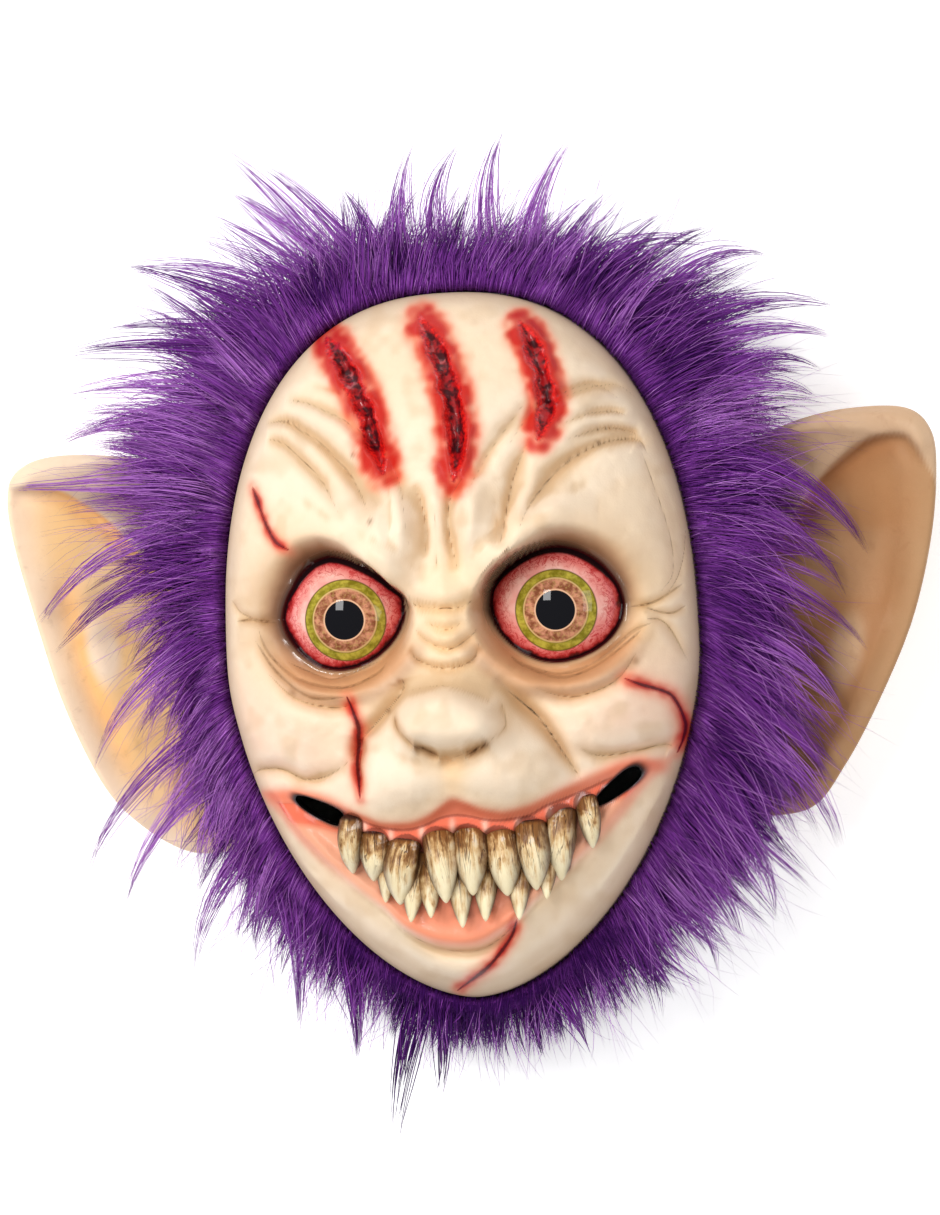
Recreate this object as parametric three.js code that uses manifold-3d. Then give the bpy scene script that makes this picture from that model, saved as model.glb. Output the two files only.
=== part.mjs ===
// A grinning monster mask of moulded latex, lying on its back with the face up.
// The latex face is an open shell. A ruff of long faux fur runs round its side wall, two big latex ears stand
// out through the fur, two domed eyes sit in the sockets, and two rows of fangs hang from the gum.
// Millimetres. +Z is up, out of the face, +Y runs to the crown and +X to the mask's own left ear.
// The origin is on the table under the middle of the mask.

import * as THREE from "three";
import { mergeVertices } from "three/addons/utils/BufferGeometryUtils.js";
import Module from "manifold-3d";

const wasm = await Module();
wasm.setup();

// Driving dimensions
const faceHalfWidth = 92;
const faceHalfHeight = 136.5;
const edgeHeight = 72;
const faceRise = 46;
const wallThickness = 3;
const wallFlare = 6;
const furReach = 199;
const eyeSpread = 40;
const eyeRadius = 27;
const seatGap = 0.35;

const { clamp, lerp, smoothstep, degToRad } = THREE.MathUtils;
const v2 = (x, y) => new THREE.Vector2(x, y);

// Outline of the face where the latex meets the fur: a superellipse, squarer over the brow than at the chin.
const crownPower = 2.35;
const chinPower = 1.75;

function outlineRadius(angle) {
  const power = lerp(chinPower, crownPower, smoothstep(Math.sin(angle), -0.35, 0.35));
  const across = Math.abs(Math.cos(angle) / faceHalfWidth) ** power;
  const along = Math.abs(Math.sin(angle) / faceHalfHeight) ** power;
  return (across + along) ** (-1 / power);
}

const wallRadius = (angle, z) => outlineRadius(angle) + wallFlare * (1 - z / edgeHeight);

// A carved line: a smooth curve through a few points, with a rounded section and tapered ends.
// A negative height is a fold cut into the skin, and a positive one is a ridge.
function stroke(points, width, height) {
  const line = new THREE.SplineCurve(points.map(([x, y]) => v2(x, y))).getPoints(points.length * 3);
  return { line, width, height };
}

function strokeHeight({ line, width, height }, x, y) {
  let nearest = Infinity;
  let at = 0;
  for (let i = 0; i < line.length - 1; i++) {
    const a = line[i];
    const b = line[i + 1];
    const run = v2(b.x - a.x, b.y - a.y);
    const share = clamp(((x - a.x) * run.x + (y - a.y) * run.y) / run.lengthSq(), 0, 1);
    const gap = Math.hypot(x - a.x - share * run.x, y - a.y - share * run.y);
    if (gap < nearest) {
      nearest = gap;
      at = (i + share) / (line.length - 1);
    }
  }
  const taper = smoothstep(at, -0.08, 0.16) * (1 - smoothstep(at, 0.84, 1.08));
  return height * taper * Math.exp(-((nearest / width) ** 2));
}

// A rounded swelling: an ellipse turned by some degrees, flat-topped where the power is over 1.
function mound(x, y, radiusX, radiusY, height, turn = 0, power = 1) {
  return { x, y, radiusX, radiusY, height, turn: degToRad(turn), power };
}

function moundHeight(m, x, y) {
  const dx = x - m.x;
  const dy = y - m.y;
  const along = (dx * Math.cos(m.turn) + dy * Math.sin(m.turn)) / m.radiusX;
  const across = (-dx * Math.sin(m.turn) + dy * Math.cos(m.turn)) / m.radiusY;
  return m.height * Math.exp(-((along * along + across * across) ** m.power));
}

const pair = (x, y, rx, ry, height, turn = 0, power = 1) => [
  mound(x, y, rx, ry, height, turn, power),
  mound(-x, y, rx, ry, height, -turn, power),
];

// Masses of the face that lie under the sockets and the mouth
const masses = [
  mound(0, 88, 52, 26, 8),
  mound(0, 6, 12, 26, 7),
  mound(0, -26, 19, 12, 24, 0, 1.5),
  mound(0, -46, 20, 14, 5),
  mound(2, -103, 40, 20, 12),
  mound(2, -126, 18, 9, 7),
  ...pair(37, 42, 30, 12, 9, -10),
  ...pair(15, -32, 7, 7, 9),
  ...pair(22, -49, 20, 15, 12),
  ...pair(62, -28, 17, 17, 6),
];

// Forms that lie over the sockets: the knotted brow, its inner lobes and the eye bags
const overMasses = [
  ...pair(11, 42, 7, 19, 6, -8),
  ...pair(22, 28, 10, 8, 9, 35, 1.5),
  ...pair(43, -14, 25, 5, 3.5, 4),
];

const folds = [
  stroke([[0, 68], [0.5, 48], [0, 30]], 4, -4),
  stroke([[-72, 86], [-55, 87], [-44, 78], [-36, 63], [-28, 48]], 4.5, -4),
  stroke([[76, 76], [59, 75], [44, 67], [33, 54], [30, 43]], 4.5, -4),
  stroke([[72, 96], [52, 92], [36, 84], [23, 72]], 4.5, -2.6),
  stroke([[-17, -12], [-24, -21], [-34, -31], [-37, -42], [-36, -54]], 4.5, -5),
  stroke([[13, -10], [20, -16], [33, -33], [46, -48]], 4.5, -5),
  stroke([[-78, -44], [-63, -48.5], [-49, -47], [-42, -42]], 4, -3),
  stroke([[52, -50], [70, -45], [81, -36]], 4, -3),
  stroke([[-13, 8], [0, 4], [14, 8]], 4.5, -3),
  stroke([[-18, -33], [-12, -39], [-4, -42], [6, -42], [13, -39], [17, -34]], 4, -4),
];

// Cuts in the skin, and three claw gashes over the forehead with torn, swollen margins
const clawGashes = [
  [[-46, 121], [-34, 104], [-26, 84], [-22, 66]],
  [[-8, 126], [1, 106], [6, 84], [5, 62]],
  [[30, 122], [37, 106], [40, 90], [37, 76]],
];
const cuts = [
  stroke([[-75, 64], [-70.5, 53], [-67.5, 45], [-61.5, 39]], 3.5, -2.4),
  stroke([[65.5, -16.5], [74.5, -18.5], [82, -24.5], [86, -34], [84, -43]], 3.5, -2.4),
  stroke([[19, -105.5], [15.5, -112.5], [8, -120], [-3, -130]], 3.5, -2.8),
  ...clawGashes.map((line) => stroke(line, 4.2, -4.5)),
];

// The grin: the pink edge of the upper lip, and the outer edge of the lower lip, from corner to corner
const lipTop = new THREE.SplineCurve(
  [[-74, -53], [-55, -57], [-42, -61], [-27, -66], [-16, -66], [-8, -62.5], [0, -59.5], [7, -61.5], [16, -63],
    [25, -61], [37, -56.5], [49, -53.5], [67, -49], [76, -49]].map(([x, y]) => v2(x, y)),
);
const lipBottom = new THREE.SplineCurve(
  [[-74, -53], [-56, -74], [-38, -94], [-23, -106], [-9, -113.5], [3, -116], [15, -112.5], [28, -101],
    [47, -81], [66, -59], [76, -49]].map(([x, y]) => v2(x, y)),
);
const lipTopLine = lipTop.getPoints(60);
const lipBottomLine = lipBottom.getPoints(60);
const lipBand = 4;
const mouthDepth = 5;

// Height y of a left-to-right line at x
function lineAt(line, x) {
  const next = clamp(line.findIndex((p) => p.x > x), 1, line.length - 1);
  const a = line[next - 1];
  const b = line[next];
  return lerp(a.y, b.y, clamp((x - a.x) / (b.x - a.x), 0, 1));
}

function mouthRecess(x, y) {
  const below = lineAt(lipTopLine, x) - lipBand - y;
  const lowerBand = lipBand + 6 * Math.exp(-(((x - 3) / 20) ** 2));
  const above = y - (lineAt(lipBottomLine, x) + lowerBand);
  return -mouthDepth * smoothstep(below, -3, 4) * smoothstep(above, -4, 8);
}

function lipRidge(x, y) {
  if (Math.abs(x) > 76) return 0;
  const upper = Math.exp(-(((y - lineAt(lipTopLine, x) + 2) / 3) ** 2));
  const lower = Math.exp(-(((y - lineAt(lipBottomLine, x) - 4.5) / 4.5) ** 2));
  return (2.2 * upper + 2.6 * lower) * (1 - smoothstep(Math.abs(x), 64, 76));
}

// Domed eyes, and the sockets that draw the skin down to their rims
const eyeHeight = 13;
const eyeCentre = 86;
const lidLevel = 99;

function socketed(z, x, y) {
  const far = Math.hypot(Math.abs(x) - eyeSpread, y - eyeHeight) / eyeRadius;
  return lerp(lidLevel, z, smoothstep(far, 0.86, 1.5));
}

const total = (things, height, x, y) => things.reduce((sum, thing) => sum + height(thing, x, y), 0);

// Height of the outer skin over the point (x, y), inside the outline
function skinHeight(x, y) {
  const share = Math.min(Math.hypot(x, y) / outlineRadius(Math.atan2(y, x)), 1);
  const base = edgeHeight + faceRise * (1 - share ** 2.4) ** 0.62;
  const fade = smoothstep(1 - share, 0, 0.1);
  const formed = socketed(base + fade * total(masses, moundHeight, x, y), x, y);
  const over = total(overMasses, moundHeight, x, y) + total(folds, strokeHeight, x, y);
  const wounds = total(cuts, strokeHeight, x, y);
  return formed + fade * (over + wounds + lipRidge(x, y) + mouthRecess(x, y));
}

// Inside of the shell: it follows the lowest skin nearby, so the wall never thins at a fold
function liningHeight(x, y) {
  let lowest = skinHeight(x, y);
  for (let i = 0; i < 16; i++) {
    const angle = (i * Math.PI) / 4;
    const reach = i < 8 ? 5 : 10;
    lowest = Math.min(lowest, skinHeight(x + reach * Math.cos(angle), y + reach * Math.sin(angle)));
  }
  return lowest - wallThickness;
}

// A square grid pressed onto the face: its squares become rings, and the outer ones run down the side wall.
function faceVertex(u, v, inset, heightOf) {
  const square = Math.max(Math.abs(u), Math.abs(v));
  if (square === 0) return [0, 0, heightOf(0, 0)];
  const sideX = u / square;
  const sideY = v / square;
  const angle = Math.atan2(sideY * Math.sqrt(1 - sideX ** 2 / 2), sideX * Math.sqrt(1 - sideY ** 2 / 2));
  if (square > capShare + 1e-6) {
    const z = (edgeHeight * (1 - square)) / (1 - capShare);
    const radius = wallRadius(angle, z) - inset;
    return [radius * Math.cos(angle), radius * Math.sin(angle), z];
  }
  const ring = square / capShare;
  const radius = (outlineRadius(angle) - inset) * lerp(ring, Math.sin((ring * Math.PI) / 2), 0.35);
  const x = radius * Math.cos(angle);
  const y = radius * Math.sin(angle);
  return [x, y, heightOf(x, y)];
}

const gridSteps = 40;
const capShare = 0.9;

function faceShell() {
  const positions = [];
  const index = [];
  const sheet = (steps, inset, heightOf) => {
    const first = positions.length / 3;
    for (let j = 0; j <= steps; j++)
      for (let i = 0; i <= steps; i++)
        positions.push(...faceVertex((2 * i) / steps - 1, (2 * j) / steps - 1, inset, heightOf));
    return (i, j) => first + j * (steps + 1) + i;
  };
  const outer = sheet(gridSteps, 0, skinHeight);
  const inner = sheet(gridSteps / 2, wallThickness, liningHeight);
  const quads = (at, steps, up) => {
    for (let j = 0; j < steps; j++)
      for (let i = 0; i < steps; i++) {
        const corners = [at(i, j), at(i + 1, j), at(i + 1, j + 1), at(i, j + 1)];
        if (i < steps / 2 !== j < steps / 2) corners.push(corners.shift());
        const [a, b, c, d] = corners;
        if (up) index.push(a, b, c, a, c, d);
        else index.push(a, c, b, a, d, c);
      }
  };
  quads(outer, gridSteps, true);
  quads(inner, gridSteps / 2, false);
  // Each square is split along the line from the middle of the face, and the back rim joins two outer edges to each inner one, all the way round
  const around = (steps, at) => {
    const ring = [];
    for (let i = 0; i < steps; i++) ring.push(at(i, 0));
    for (let j = 0; j < steps; j++) ring.push(at(steps, j));
    for (let i = steps; i > 0; i--) ring.push(at(i, steps));
    for (let j = steps; j > 0; j--) ring.push(at(0, j));
    return ring;
  };
  const outerRing = around(gridSteps, outer);
  const innerRing = around(gridSteps / 2, inner);
  innerRing.forEach((near, k) => {
    const next = innerRing[(k + 1) % innerRing.length];
    const [a, b, c] = [0, 1, 2].map((step) => outerRing[(2 * k + step) % outerRing.length]);
    index.push(near, b, a, near, next, b, next, c, b);
  });
  return geometryFrom(positions, index);
}

// A body from its corners and triangles, turned the right way out
function geometryFrom(positions, index) {
  let volume = 0;
  const corner = (i) => new THREE.Vector3().fromArray(positions, 3 * i);
  for (let i = 0; i < index.length; i += 3)
    volume += corner(index[i]).dot(corner(index[i + 1]).cross(corner(index[i + 2])));
  const geometry = new THREE.BufferGeometry();
  geometry.setAttribute("position", new THREE.Float32BufferAttribute(positions, 3));
  geometry.setIndex(volume < 0 ? [...index].reverse() : index);
  return geometry;
}

// The same body with its doubled corners joined and its faces outward
function closed(geometry) {
  const bare = geometry.clone();
  bare.deleteAttribute("normal");
  bare.deleteAttribute("uv");
  const merged = mergeVertices(bare, 1e-4);
  const index = Array.from(merged.index.array);
  const whole = [];
  for (let i = 0; i < index.length; i += 3) {
    const [a, b, c] = [index[i], index[i + 1], index[i + 2]];
    if (a !== b && b !== c && c !== a) whole.push(a, b, c);
  }
  return geometryFrom(Array.from(merged.attributes.position.array), whole);
}

function solidOf(geometry) {
  const body = closed(geometry);
  const vertProperties = new Float32Array(body.attributes.position.array);
  const triVerts = new Uint32Array(body.index.array);
  return new wasm.Manifold(new wasm.Mesh({ numProp: 3, vertProperties, triVerts }));
}

// The same body with each corner moved out along its normal, to cut a seat with a gap round it
function grown(geometry, swell) {
  const body = closed(geometry);
  body.computeVertexNormals();
  const { position, normal } = body.attributes;
  const positions = Array.from(position.array, (value, i) => value + swell * normal.array[i]);
  return geometryFrom(positions, Array.from(body.index.array));
}

const largest = (solid) => solid.decompose().sort((a, b) => b.volume() - a.volume())[0];

function geometryOf(solid) {
  const mesh = solid.getMesh();
  return geometryFrom(Array.from(mesh.vertProperties), Array.from(mesh.triVerts));
}

// A closed body from rings with the same even number of points. Each end ring is closed by a strip of quads.
function loft(rings, closed = false) {
  const sides = rings[0].length;
  const index = [];
  const bands = closed ? rings.length : rings.length - 1;
  for (let r = 0; r < bands; r++)
    for (let s = 0; s < sides; s++) {
      const next = ((r + 1) % rings.length) * sides;
      const [a, b] = [r * sides + s, r * sides + ((s + 1) % sides)];
      const [c, d] = [next + ((s + 1) % sides), next + s];
      index.push(a, b, c, a, c, d);
    }
  if (!closed)
    for (let s = 0; s < sides / 2 - 1; s++) {
      const [a, b, c, d] = [s, s + 1, sides - 2 - s, sides - 1 - s];
      index.push(a, c, b, a, d, c);
      const last = (rings.length - 1) * sides;
      index.push(last + a, last + b, last + c, last + a, last + c, last + d);
    }
  return geometryFrom(rings.flat(2), index);
}

// Eyes: thin domes, open at the back
const eyeWall = 2.5;
const eyeBack = -6;

function eyeDome(swell = 0) {
  const arc = (radius, from, to, count) =>
    Array.from({ length: count + 1 }, (_, i) => {
      const angle = lerp(from, to, i / count);
      return v2(radius * Math.sin(angle), radius * Math.cos(angle));
    });
  const outerRadius = eyeRadius + swell;
  const innerRadius = eyeRadius - eyeWall;
  const outside = arc(outerRadius, Math.acos((eyeBack - swell) / outerRadius), 0, 5);
  const inside = swell ? [v2(0, eyeBack - swell)] : arc(innerRadius, 0, Math.acos(eyeBack / innerRadius), 3);
  outside.at(-1).x = 0;
  inside[0].x = 0;
  const lathe = new THREE.LatheGeometry([...inside, ...outside], 18).rotateX(Math.PI / 2);
  return closed(lathe);
}

// Fangs: root and tip of each, the width at the gum and the rank, front or back
const fangs = [
  { name: "front_fang_1", root: [-40.4, -62], tip: [-41.2, -84], width: 8.6 },
  { name: "front_fang_2", root: [-31, -68], tip: [-32.2, -87], width: 9.6 },
  { name: "front_fang_3", root: [-20.3, -71], tip: [-23.7, -96], width: 12 },
  { name: "front_fang_4", root: [-8, -68.5], tip: [-5.4, -96], width: 11.4 },
  { name: "front_fang_5", root: [4.2, -68], tip: [5.6, -94], width: 11.2 },
  { name: "front_fang_6", root: [16.6, -69.5], tip: [19.2, -95], width: 12 },
  { name: "front_fang_7", root: [28.9, -66.5], tip: [30.4, -94], width: 11.4 },
  { name: "front_fang_8", root: [40.2, -62.5], tip: [39.2, -90.5], width: 10.4 },
  { name: "front_fang_9", root: [49.8, -58], tip: [51.3, -79], width: 8 },
  { name: "back_fang_1", root: [-27, -72], tip: [-29.2, -95.5], width: 7.6, back: true },
  { name: "back_fang_2", root: [-15.4, -77], tip: [-19.4, -103.5], width: 8.4, back: true },
  { name: "back_fang_3", root: [-13, -78], tip: [-10.7, -102], width: 7.6, back: true },
  { name: "back_fang_4", root: [-1.8, -76], tip: [1, -106], width: 9, back: true },
  { name: "back_fang_5", root: [10.2, -76], tip: [9.6, -105], width: 8.8, back: true },
  { name: "back_fang_6", root: [22.6, -75], tip: [22.3, -101.5], width: 8.4, back: true },
  { name: "back_fang_7", root: [34.6, -71], tip: [33.2, -94.5], width: 7.4, back: true },
];

// The fangs stand out from the skin: the front rank by a few millimetres more than the back rank
function fang({ root, tip, width, back }) {
  const start = new THREE.Vector3(root[0], root[1], skinHeight(...root) + (back ? 0 : 2.5));
  const end = new THREE.Vector3(tip[0], tip[1], skinHeight(...tip) + (back ? 3.5 : 7));
  const along = end.clone().sub(start);
  const side = new THREE.Vector3(0, 0, 1).cross(along).normalize();
  const front = along.clone().normalize().cross(side);
  const sides = 6;
  const depth = back ? 0.6 : 0.78;
  const bulge = back ? 0.6 : 1.8;
  // Half width at each share of the length: a round root, a swell and a slim point
  const profile = [[0, 0.34], [0.3, 0.5], [0.62, 0.38], [0.86, 0.18], [1, 0.04]];
  const rings = profile.map(([share, half]) => {
    const centre = start.clone().addScaledVector(along, share);
    const bow = bulge * Math.sin(share * Math.PI);
    return Array.from({ length: sides }, (_, s) => {
      const angle = (s / sides) * 2 * Math.PI;
      const wide = half * width * Math.cos(angle);
      const deep = half * width * depth * Math.sin(angle) + bow;
      return centre.clone().addScaledVector(side, wide).addScaledVector(front, deep).toArray();
    });
  });
  return loft(rings.reverse());
}

// Ears: a patch between the head's side wall and the ear's outline, cupped and rolled forward at the edge
const earOutline = new THREE.SplineCurve(
  [[97, 71], [112, 75.5], [136, 81.5], [160, 84], [177, 81], [185, 71], [185.6, 56], [180, 25], [170, -8],
    [156, -39], [140, -62], [123, -73.5], [106, -75.5], [92, -72]].map(([x, y]) => v2(x, y)),
);
const earThickness = 3.4;
const earRootHeight = 34;

function earPoint(s, v, side) {
  const edge = earOutline.getPoint(clamp(s, 0, 1));
  const angle = degToRad(lerp(37, -36, s));
  const root = wallRadius(angle, earRootHeight + side) + seatGap;
  const x = lerp(root * Math.cos(angle), edge.x, v);
  const y = lerp(root * Math.sin(angle), edge.y, v);
  const reach = Math.hypot(edge.x - root * Math.cos(angle), edge.y - root * Math.sin(angle));
  const full = smoothstep(reach, 8, 70);
  const cup = -9 * full * Math.sin(Math.PI * clamp(v * 1.15, 0, 1));
  const rise = 25 * ((v * reach) / 100) ** 2 * smoothstep(1 - s, 0, 0.45);
  const rollWidth = lerp(0.2, 0.1, smoothstep(s, 0.2, 0.6));
  const roll = 7 * full * Math.exp(-(((v - 0.93) / rollWidth) ** 2)) * (1 - 0.75 * smoothstep(s, 0.3, 0.75));
  const knuckle = 5 * Math.exp(-(((x - 152) / 14) ** 2) - ((y + 2) / 20) ** 2);
  return [x, y, earRootHeight + cup + rise + roll + knuckle + side];
}

const earSteps = [0, 0.4, 0.62, 0.8, 0.92, 1];

function ear(mirror) {
  const stepsAlong = 13;
  const rings = [];
  for (let i = 0; i <= stepsAlong; i++) {
    const top = earSteps.map((v) => earPoint(i / stepsAlong, v, earThickness / 2));
    const under = earSteps.map((v) => earPoint(i / stepsAlong, v, -earThickness / 2)).reverse();
    rings.push([...top, ...under]);
  }
  return mirrored(loft(rings), mirror);
}

function mirrored(geometry, mirror) {
  if (!mirror) return geometry;
  const flipped = geometry.clone().scale(-1, 1, 1);
  return geometryFrom(Array.from(flipped.attributes.position.array), Array.from(flipped.index.array));
}

// Fur: how the pile is combed and how long it stands, at every 15 degrees round the face from +X
const flowDegrees = [
  -22, -10, 8, 24, 38, 60, 74, 98, 122, 146, 164, 184, 202, 212, 217, 222, 232, 247, 263, 285, 303, 322, 325, 326,
];
const pileLength = [
  58, 56, 64, 80, 66, 66, 74, 66, 76, 84, 78, 66, 54, 64, 74, 70, 62, 56, 70, 46, 50, 58, 72, 78,
];
const lockCount = 44;

function roundTable(table, angle, turnPerLap = 0) {
  const place = (((angle / (2 * Math.PI)) % 1) + 1) % 1;
  const at = place * table.length;
  const low = Math.floor(at) % table.length;
  const high = low + 1 < table.length ? table[low + 1] : table[0] + turnPerLap;
  return lerp(table[low], high, at - Math.floor(at));
}

// A lock's crest is 1 and the parting between two locks is 0
function lockCrest(angle) {
  const phase = (angle / (2 * Math.PI)) * lockCount;
  const number = Math.floor(phase + 0.5);
  return { crest: 1 - 2 * Math.abs(phase - number), number: ((number % lockCount) + lockCount) % lockCount };
}

// Section of the ruff: share of the pile length outwards, and height over the table
const furSection = [[0, 73], [0.18, 79], [0.5, 74], [0.82, 58], [1, 46], [0.78, 24], [0.42, 0]];
const furWallTop = 66;

function furRing() {
  const steps = lockCount * 2;
  const rings = [];
  for (let i = 0; i < steps; i++) {
    const angle = (i / steps) * 2 * Math.PI;
    const { crest, number } = lockCrest(angle);
    const flow = degToRad(roundTable(flowDegrees, angle, 360));
    const uneven = 1 + 0.1 * Math.sin(number * 2.4) + 0.08 * Math.sin(number * 5.1 + 1);
    const length = roundTable(pileLength, angle) * uneven * lerp(0.58, 1, crest);
    const overEar = smoothstep(Math.abs(Math.cos(angle)), 0.74, 0.86);
    const polar = (radius, height) => [radius * Math.cos(angle), radius * Math.sin(angle), height];
    const rootX = (outlineRadius(angle) + 3) * Math.cos(angle);
    const rootY = (outlineRadius(angle) + 3) * Math.sin(angle);
    const outside = furSection.map(([share, height]) => {
      const x = rootX + share * length * Math.cos(flow);
      const y = clamp(rootY + share * length * Math.sin(flow), -furReach, furReach);
      const lift = 14 * overEar * share * smoothstep(height, 20, 50);
      const ridge = height > 40 ? 3 * (crest - 0.5) : 0;
      return [x, y, height + lift + ridge];
    });
    const foot = polar(wallRadius(angle, 0) + 3 * seatGap, 0);
    const brow = polar(wallRadius(angle, furWallTop) + 3 * seatGap, furWallTop);
    rings.push([foot, brow, ...outside]);
  }
  return loft(rings.reverse(), true);
}

const latexColour = 0xeed3b0;
const materials = {
  latex: new THREE.MeshStandardMaterial({ color: latexColour, roughness: 0.48, metalness: 0 }),
  ear: new THREE.MeshStandardMaterial({ color: 0xdcae7c, roughness: 0.55, metalness: 0 }),
  fur: new THREE.MeshStandardMaterial({ color: 0x5a2a86, roughness: 0.7, metalness: 0 }),
  eye: new THREE.MeshStandardMaterial({ color: 0xb9a13a, roughness: 0.08, metalness: 0 }),
  fang: new THREE.MeshStandardMaterial({ color: 0xdcc9a0, roughness: 0.35, metalness: 0 }),
};

const mask = new THREE.Group();

function place(name, geometry, material) {
  geometry.computeVertexNormals();
  const mesh = new THREE.Mesh(geometry, material);
  mesh.name = name;
  mask.add(mesh);
}

// Breathing slits at the corners of the grin, cut right through the skin
const slits = [
  { centre: [-54.5, -60], turn: -27, length: 18, width: 6.4 },
  { centre: [60.4, -56.4], turn: 35, length: 20, width: 6 },
];

function slitCutter({ centre, turn, length, width }) {
  const shape = new THREE.Shape();
  shape.absellipse(0, 0, length / 2, width / 2, 0, 2 * Math.PI);
  const cutter = new THREE.ExtrudeGeometry(shape, { depth: 80, bevelEnabled: false, curveSegments: 6 });
  return solidOf(cutter.rotateZ(degToRad(turn)).translate(centre[0], centre[1], 60));
}

let latex = solidOf(faceShell());
for (const side of [-1, 1]) {
  const seat = eyeDome(seatGap).translate(side * eyeSpread, eyeHeight, eyeCentre);
  latex = latex.subtract(solidOf(seat));
}
for (const slit of slits) latex = latex.subtract(slitCutter(slit));
for (const tooth of fangs) latex = latex.subtract(solidOf(grown(fang(tooth), 1.5 * seatGap)));
place("latex_face", geometryOf(largest(latex)), materials.latex);

place("right_eye", eyeDome().translate(-eyeSpread, eyeHeight, eyeCentre), materials.eye);
place("left_eye", eyeDome().translate(eyeSpread, eyeHeight, eyeCentre), materials.eye);

let fur = solidOf(furRing());
for (const [name, mirror] of [["left_ear", false], ["right_ear", true]]) {
  fur = fur.subtract(solidOf(grown(ear(mirror), 3 * seatGap)));
  place(name, ear(mirror), materials.ear);
}
place("fur_ruff", geometryOf(largest(fur)), materials.fur);

// Each fang keeps clear of those set before it
const placed = [];
for (const tooth of fangs) {
  let body = solidOf(fang(tooth));
  for (const other of placed) body = body.subtract(other);
  placed.push(solidOf(grown(fang(tooth), 1.5 * seatGap)));
  place(tooth.name, geometryOf(body), materials.fang);
}

export default mask;
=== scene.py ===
# A grinning monster mask of painted latex with long violet faux fur, lying face up on a pale floor.
# Shapes are worked out in millimetres and turned into metres when a mesh is made.
# +Z is up, out of the face, +Y runs to the crown and +X to the mask's own left ear.

import math

import bpy
import numpy as np
from mathutils import Matrix


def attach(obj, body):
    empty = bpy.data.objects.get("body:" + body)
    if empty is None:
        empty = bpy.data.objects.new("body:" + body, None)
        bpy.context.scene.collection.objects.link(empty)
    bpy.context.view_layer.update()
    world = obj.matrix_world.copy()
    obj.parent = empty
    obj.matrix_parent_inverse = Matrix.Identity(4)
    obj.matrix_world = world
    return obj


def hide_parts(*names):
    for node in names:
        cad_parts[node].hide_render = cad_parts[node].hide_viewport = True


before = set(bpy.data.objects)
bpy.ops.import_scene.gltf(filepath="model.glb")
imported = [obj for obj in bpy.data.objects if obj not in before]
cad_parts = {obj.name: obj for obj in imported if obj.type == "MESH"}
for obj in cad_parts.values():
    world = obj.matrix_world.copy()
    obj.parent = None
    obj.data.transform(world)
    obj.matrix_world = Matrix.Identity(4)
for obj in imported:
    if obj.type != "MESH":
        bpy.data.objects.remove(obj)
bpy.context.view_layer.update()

# Small curves that everything below is made from


def smooth(value, low, high):
    # 3t² - 2t³, where t runs from 0 at low to 1 at high
    t = np.clip((value - low) / (high - low), 0, 1)
    return t * t * (3 - 2 * t)


def window(value, low, full, fading, high):
    # 0 up to low, 1 from full to fading, and 0 again from high on
    return smooth(value, low, full) * (1 - smooth(value, fading, high))


def mix(first, second, share):
    # A straight line from first at share 0 to second at share 1
    return first + (second - first) * share


def bell(value, width):
    # e to the power of minus the square of value over width
    return np.exp(-((value / width) ** 2))


def around(table, angle):
    # A table of values at even steps round a circle, read at any angle with straight lines in between
    steps = len(table)
    place = np.mod(angle / (2 * math.pi), 1) * steps
    low = np.floor(place).astype(int) % steps
    values = np.asarray(table, float)
    return mix(values[low], values[(low + 1) % steps], place - np.floor(place))


def softCurve(points, perStep):
    # Catmull-Rom: a cubic between each two points, whose end slopes are half the step between the neighbours
    knots = np.asarray(points, float)
    last = len(knots) - 1
    first = np.arange(last)
    a, b = knots[np.maximum(first - 1, 0)], knots[first]
    c, d = knots[first + 1], knots[np.minimum(first + 2, last)]
    t = (np.arange(perStep) / perStep)[None, :, None]
    a, b, c, d = (p[:, None, :] for p in (a, b, c, d))
    bend = 2 * b + (c - a) * t + (2 * a - 5 * b + 4 * c - d) * t**2 + (3 * b - a - 3 * c + d) * t**3
    return np.vstack([(bend / 2).reshape(-1, knots.shape[1]), knots[-1:]])


farOff = 1000.0  # the distance in millimetres that stands for out of reach


def nearLine(line, x, y, reach):
    # Distance to a bent line, share of the way along it, and +1 on its left or -1 on its right
    gap, along, side = np.full(x.shape, farOff), np.zeros(x.shape), np.ones(x.shape)
    low, high = line.min(0) - reach, line.max(0) + reach
    near = np.nonzero((x > low[0]) & (x < high[0]) & (y > low[1]) & (y < high[1]))
    if not len(near[0]):
        return gap, along, side
    px, py = x[near], y[near]
    best, place, turn = np.full(len(px), farOff), np.zeros(len(px)), np.ones(len(px))
    for i, (start, run) in enumerate(zip(line[:-1], np.diff(line, axis=0))):
        dx, dy = px - start[0], py - start[1]
        share = np.clip((dx * run[0] + dy * run[1]) / max(run @ run, 1e-9), 0, 1)
        distance = np.hypot(dx - share * run[0], dy - share * run[1])
        closer = distance < best
        best = np.where(closer, distance, best)
        place = np.where(closer, (i + share) / (len(line) - 1), place)
        turn = np.where(closer, np.where(run[0] * dy - run[1] * dx > 0, 1.0, -1.0), turn)
    gap[near], along[near], side[near] = best, place, turn
    return gap, along, side


def grain(x, y, size, seed=0):
    # Value noise from -1 to 1: random heights on a square lattice, joined with smooth shares
    rows, columns = 97, 89
    table = np.random.default_rng(seed).random((rows, columns)) * 2 - 1
    gx, gy = x / size, y / size
    ix, iy = np.floor(gx).astype(int), np.floor(gy).astype(int)
    fx, fy = smooth(gx - ix, 0, 1), smooth(gy - iy, 0, 1)
    near, far = ix % rows, (ix + 1) % rows
    low, high = (mix(table[near, j % columns], table[far, j % columns], fx) for j in (iy, iy + 1))
    return mix(low, high, fy)


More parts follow.
